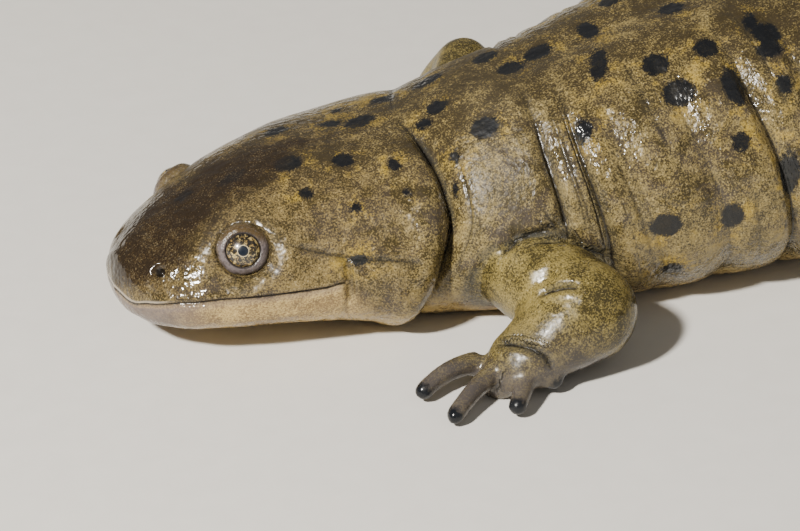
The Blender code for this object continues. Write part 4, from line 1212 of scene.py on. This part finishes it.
def markings(f, colour):
    """Black spots, grey lips, a painted highlight along the upper lip's front, painted blue-grey shade
    where the limbs join, grey palms, black toe tips.
    """
    edge = f.spot_edge + 0.9 * f.ragged + 0.4 * (f.fine - 0.5)
    chin = (f.over_mouth.step(-0.1, -0.5) * f.station.step(8.0, 1.5)).clamp()
    # Where the limbs join the body, for painted shade.
    limb_join_shade = f.limb.step(0.02, 0.20) * f.limb.step(0.80, 0.40)
    height = f.node("ShaderNodeSeparateXYZ", {}, [f.where])[2]
    under = f.on_limb * (height + 2.2 * f.ragged).step(4.2, 1.0)
    toes = f.toe_gap + 1.4 * f.ragged
    return painted(f, colour, [
        (edge.step(0.26, -0.16) * (0.97 - 0.40 * f.crown), BLACK),
        (chin * 0.85, MAUVE),
        (hill_of(f.over_mouth + 0.20, 0.34) * f.snout * 0.5, MAUVE),
        # Painted highlight: a pale line just over the mouth at the front of the snout.
        (hill_of(f.over_mouth - 0.32, 0.13) * f.station.step(3.6, 1.6) * 0.8, LIP_HIGHLIGHT),
        # Painted shade: blue-grey in patches where the limbs join the body.
        (limb_join_shade * f.patches.step(0.30, 0.55) * 0.55, SHADE_BLUE_GREY),
        ((under + toes.step(8.5, 2.0) * f.on_limb * 0.8).clamp() * 0.72, TOE_GREY),
        (toes.step(1.9, 1.1), BLACK)])


def creases(f, colour):
    """Painted shade: blue-grey beside each fold, and a painted shadow in its line, the mouth slit, the
    nostrils and round the lids' edge.
    """
    stray = 0.25 * f.ragged
    shade = hill_of(f.crease_side + stray, 0.42) * f.crease_share
    shade = shade + hill_of(f.fold_side + stray, 0.42) * f.fold_share
    # Painted shadow: near black in each fold line, the mouth slit, the nostril pits and round the
    # lids' edge.
    dark = hill_of(f.crease_side, 0.10) * (f.crease_share * 1.5).clamp()
    dark = dark + hill_of(f.fold_side, 0.10) * f.fold_share + hill_of(f.over_mouth, 0.085) * f.snout
    dark = dark + f.nostril_gap.step(0.58, 0.42) + hill_of(f.eye_gap - 2.68, 0.09) * 0.6
    return painted(f, colour, [(shade.clamp() * 0.45, SHADE_BLUE_GREY), (dark.clamp() * 0.9, CREASE_SHADOW)])


print("coats: stipple, markings, creases")


# %% Wet skin
def skin_bump(f):
    """Upright wrinkles of the flank, the cut of each fold, two sizes of pebble, and grains."""
    flank = f.station.step(30.0, 38.0) * (1 - f.on_limb) * f.rise.step(1.3, 0.7)
    wrinkles = f.noise(f.place((1.0, 1.0, 0.30)), 1.1, 3.0, 0.6) * flank
    cuts = hill_of(f.crease_side, 0.16) * f.crease_share + hill_of(f.fold_side, 0.16) * f.fold_share
    pebbled = 1 - 0.62 * f.on_limb
    normal = f.bump(wrinkles, 0.30, 0.7)
    for height, distance in ((1 - cuts, 0.16), (f.noise(f.where, 1.3, 1.0, 0.4) * pebbled, 0.17),
                             (f.noise(f.where, 3.0, 1.0, 0.5) * pebbled, 0.026), (f.fine, 0.004)):
        normal = f.bump(height, distance, under=normal)
    return normal


def skin_gloss(f):
    """Roughness: duller in patches behind the snout, on the neck and round the lids."""
    dull = f.patches.step(0.42, 0.62) * f.station.step(10.0, 20.0)
    dull = dull + 0.8 * hill_of(f.station - 38.5, 2.3)
    dull = (dull + f.eye_gap.step(4.6, 4.0) * f.eye_gap.step(2.7, 3.2)).clamp()
    return 0.11 + 0.20 * dull + 0.06 * f.fine + 0.28 * f.neck


def skin_finish():
    """Stipple under markings and painted light under painted crease shade, all beneath one wet and
    pebbled gloss.
    """
    f = Finish("wet_salamander_skin")
    add_fields(f)
    return f.set(Base_Color=creases(f, markings(f, stipple(f))), Roughness=skin_gloss(f),
                 Normal=skin_bump(f), Specular_IOR_Level=0.4)


SKIN = skin_finish()
salamander.data.materials.clear()
salamander.data.materials.append(SKIN)
first_material = np.zeros(len(salamander.data.polygons), np.int32)
salamander.data.polygons.foreach_set("material_index", first_material)
print("skin finish has", len(SKIN.node_tree.nodes), "nodes")

# %% [markdown]
# ## Eyeballs and lids
#
# The ball is a sphere whose poles lie on the line of sight, so the rings of its grid are already
# the rings of the iris. Each lid pair is one swollen band of skin round the opening: a closed
# profile carried round the line of sight, thick at the rim and diving under the head's skin.

# %% Eyeball and lid shapes
LID_COLUMNS, EYE_COLUMNS = 128, 96


def around_axis(name, side, across, ahead, columns, closed):
    """A profile of (distance from the axis, distance along it), carried round the gaze."""
    centre, gaze, corner, top = eye_frame(side)
    turn = np.linspace(0, 2 * math.pi, columns, endpoint=False)
    wheel = np.cos(turn)[:, None] * corner + np.sin(turn)[:, None] * top
    rings = centre + across[..., None] * wheel + ahead[..., None] * gaze
    if not closed:
        return tube(name, rings, centre + gaze * ahead[0].mean(), centre + gaze * ahead[-1].mean())
    return mesh_piece(name, rings.reshape(-1, 3), grid_quads(len(rings), columns, True).tolist())


def outwards(made):
    """Turns a closed mesh's faces round if they point inwards."""
    if signed_volume(made) < 0:
        made.data.flip_normals()
    return made


def eyeball(name, side):
    """A sphere: distance from the axis R sin t, along it R cos t, finest at the pupil."""
    t = math.pi * np.linspace(0.006, 0.994, 72)**1.4
    made = outwards(around_axis(name, side, EYE_RADIUS * np.sin(t)[:, None],
                                EYE_RADIUS * np.cos(t)[:, None], EYE_COLUMNS, closed=False))
    spots = read_points(made)
    across, ahead = from_axis(spots, side)
    centre, _, corner, top = eye_frame(side)
    keep(made, "across", np.where(ahead > 0, across, 5.0))
    keep(made, "toward_corner", (spots - centre) @ corner / np.maximum(across, 0.01))
    keep(made, "toward_top", (spots - centre) @ top / np.maximum(across, 0.01))
    return made


LID_SIZE = 0.955
LID_PROFILE = [(1.72, 1.21), (1.76, 1.29), (1.86, 1.32), (2.03, 1.27), (2.20, 1.17), (2.36, 1.04),
               (2.50, 0.87), (2.61, 0.66), (2.68, 0.40), (2.73, 0.05), (2.80, -0.3), (2.92, -0.7),
               (2.70, -0.85), (2.42, -0.4), (2.30, 0.2), (2.13, 0.65), (1.94, 1.0), (1.80, 1.17)]


def lid_ring(name, side):
    """The profile a little fuller above, its opening a hair wider than high."""
    across, ahead = np.array(LID_PROFILE).T
    across = across * LID_SIZE
    turn = np.linspace(0, 2 * math.pi, LID_COLUMNS, endpoint=False)
    oval = 1 + 0.02 * np.cos(2 * turn)
    grow = 1 + 0.03 * np.sin(turn) * (across[:, None] > 1.9)
    uneven = 1 + 0.012 * np.sin(5 * turn + 1) + 0.008 * np.sin(11 * turn)
    made = outwards(around_axis(name, side, across[:, None] * oval * grow * uneven,
                                ahead[:, None] * np.ones(LID_COLUMNS), LID_COLUMNS, closed=True))
    spots = read_points(made)
    across, ahead = from_axis(spots, side)
    centre, _, _, top = eye_frame(side)
    keep(made, "across", across)
    keep(made, "toward_top", (spots - centre) @ top)
    return made


EYES = {word: eyeball(word + "_eyeball", side) for word, side in (("left", 1), ("right", -1))}
LIDS = {word: lid_ring(word + "_lids", side) for word, side in (("left", 1), ("right", -1))}
print("eyeball", [round(x, 4) for x in EYES["left"].dimensions])

# %% Eye finish
IRIS_BROWN, IRIS_GOLD, IRIS_NET = (0.26, 0.165, 0.050), (0.50, 0.38, 0.15), (0.008, 0.006, 0.004)
PUPIL_RING, PUPIL, BALL_EDGE = (0.55, 0.46, 0.28), (0.004, 0.008, 0.016), (0.012, 0.009, 0.007)
LID_BROWN, LID_OUTER, LID_RIM = (0.070, 0.046, 0.020), (0.10, 0.075, 0.035), (0.030, 0.024, 0.022)
# The second colour here is painted glints: pale specks on the lids.
LID_GRAIN, LID_GLINT_PAINT = (0.026, 0.021, 0.016), (0.22, 0.18, 0.14)


def iris_finish():
    """Gold rays mottled black, a thin bright ring and a blue-black pupil under a wet coat."""
    f = Finish("golden_iris")
    across = f.attribute("across")
    ray = f.vector(f.attribute("toward_corner"), f.attribute("toward_top"), across * 0.9)
    gold = f.mix(f.noise(ray, 2.0, 2.0).step(0.35, 0.65), IRIS_BROWN, IRIS_GOLD)
    colour = painted(f, gold, [
        (f.noise(ray, 4.6, 3.0, 0.7, 0.8).step(0.41, 0.49), IRIS_NET),
        (hill_of(across - 0.545, 0.035), PUPIL_RING),
        (across.step(0.53, 0.49), PUPIL),
        (across.step(1.50, 1.62), BALL_EDGE)])
    return f.set(Base_Color=colour, Roughness=0.28, Coat_Weight=1.0, Coat_Roughness=0.02)


def lid_finish():
    """Grey mauve at the rim and below, brown like the crown above, finely grained, with painted
    glints, and wet.
    """
    f = Finish("wet_lids")
    where, across = f.place(), f.attribute("across")
    grain = f.noise(where, 3.4, 2.0, 0.6)
    ragged = f.noise(where, 1.6, 3.0, 0.6) - 0.5
    colour = painted(f, MAUVE, [
        ((f.attribute("toward_top") + 0.9 * ragged).step(0.2, 1.5), LID_BROWN),
        ((across + 0.5 * ragged).step(2.30, 2.70), LID_OUTER),
        (grain.step(0.50, 0.62) * 0.6, LID_GRAIN),
        # Painted highlight: pale specks that stand in for glints on the wet lids.
        (f.noise(where, 5.0, 2.0, 0.7).step(0.54, 0.66) * 0.4, LID_GLINT_PAINT),
        (across.step(1.84, 1.74), LID_RIM)])
    normal = f.bump(f.noise(f.vector(across * 3.0, ragged, 0.0), 2.0), 0.10, 0.6)
    normal = f.bump(f.noise(where, 3.0, 2.0, 0.6), 0.07, under=normal)
    return f.set(Base_Color=colour, Roughness=0.22 + 0.1 * grain, Normal=normal)


IRIS, LID = iris_finish(), lid_finish()
for word in ("left", "right"):
    EYES[word].data.materials.append(IRIS)
    LIDS[word].data.materials.append(LID)
print("eye finishes ready")

# %% [markdown]
# ## Which piece stands for which solid
#
# The one skin takes the place of every node of flesh, each eyeball and lid ring that of its own
# nodes. All of them ride on the single body of this still model.

# %% Hand over
FLESH = [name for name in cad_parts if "eye" not in name and "lid" not in name]
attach(salamander, "root")
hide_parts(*FLESH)
for word in ("left", "right"):
    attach(EYES[word], "root")
    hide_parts(word + "_eye")
    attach(LIDS[word], "root")
    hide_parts(word + "_upper_lid", word + "_lower_lid")
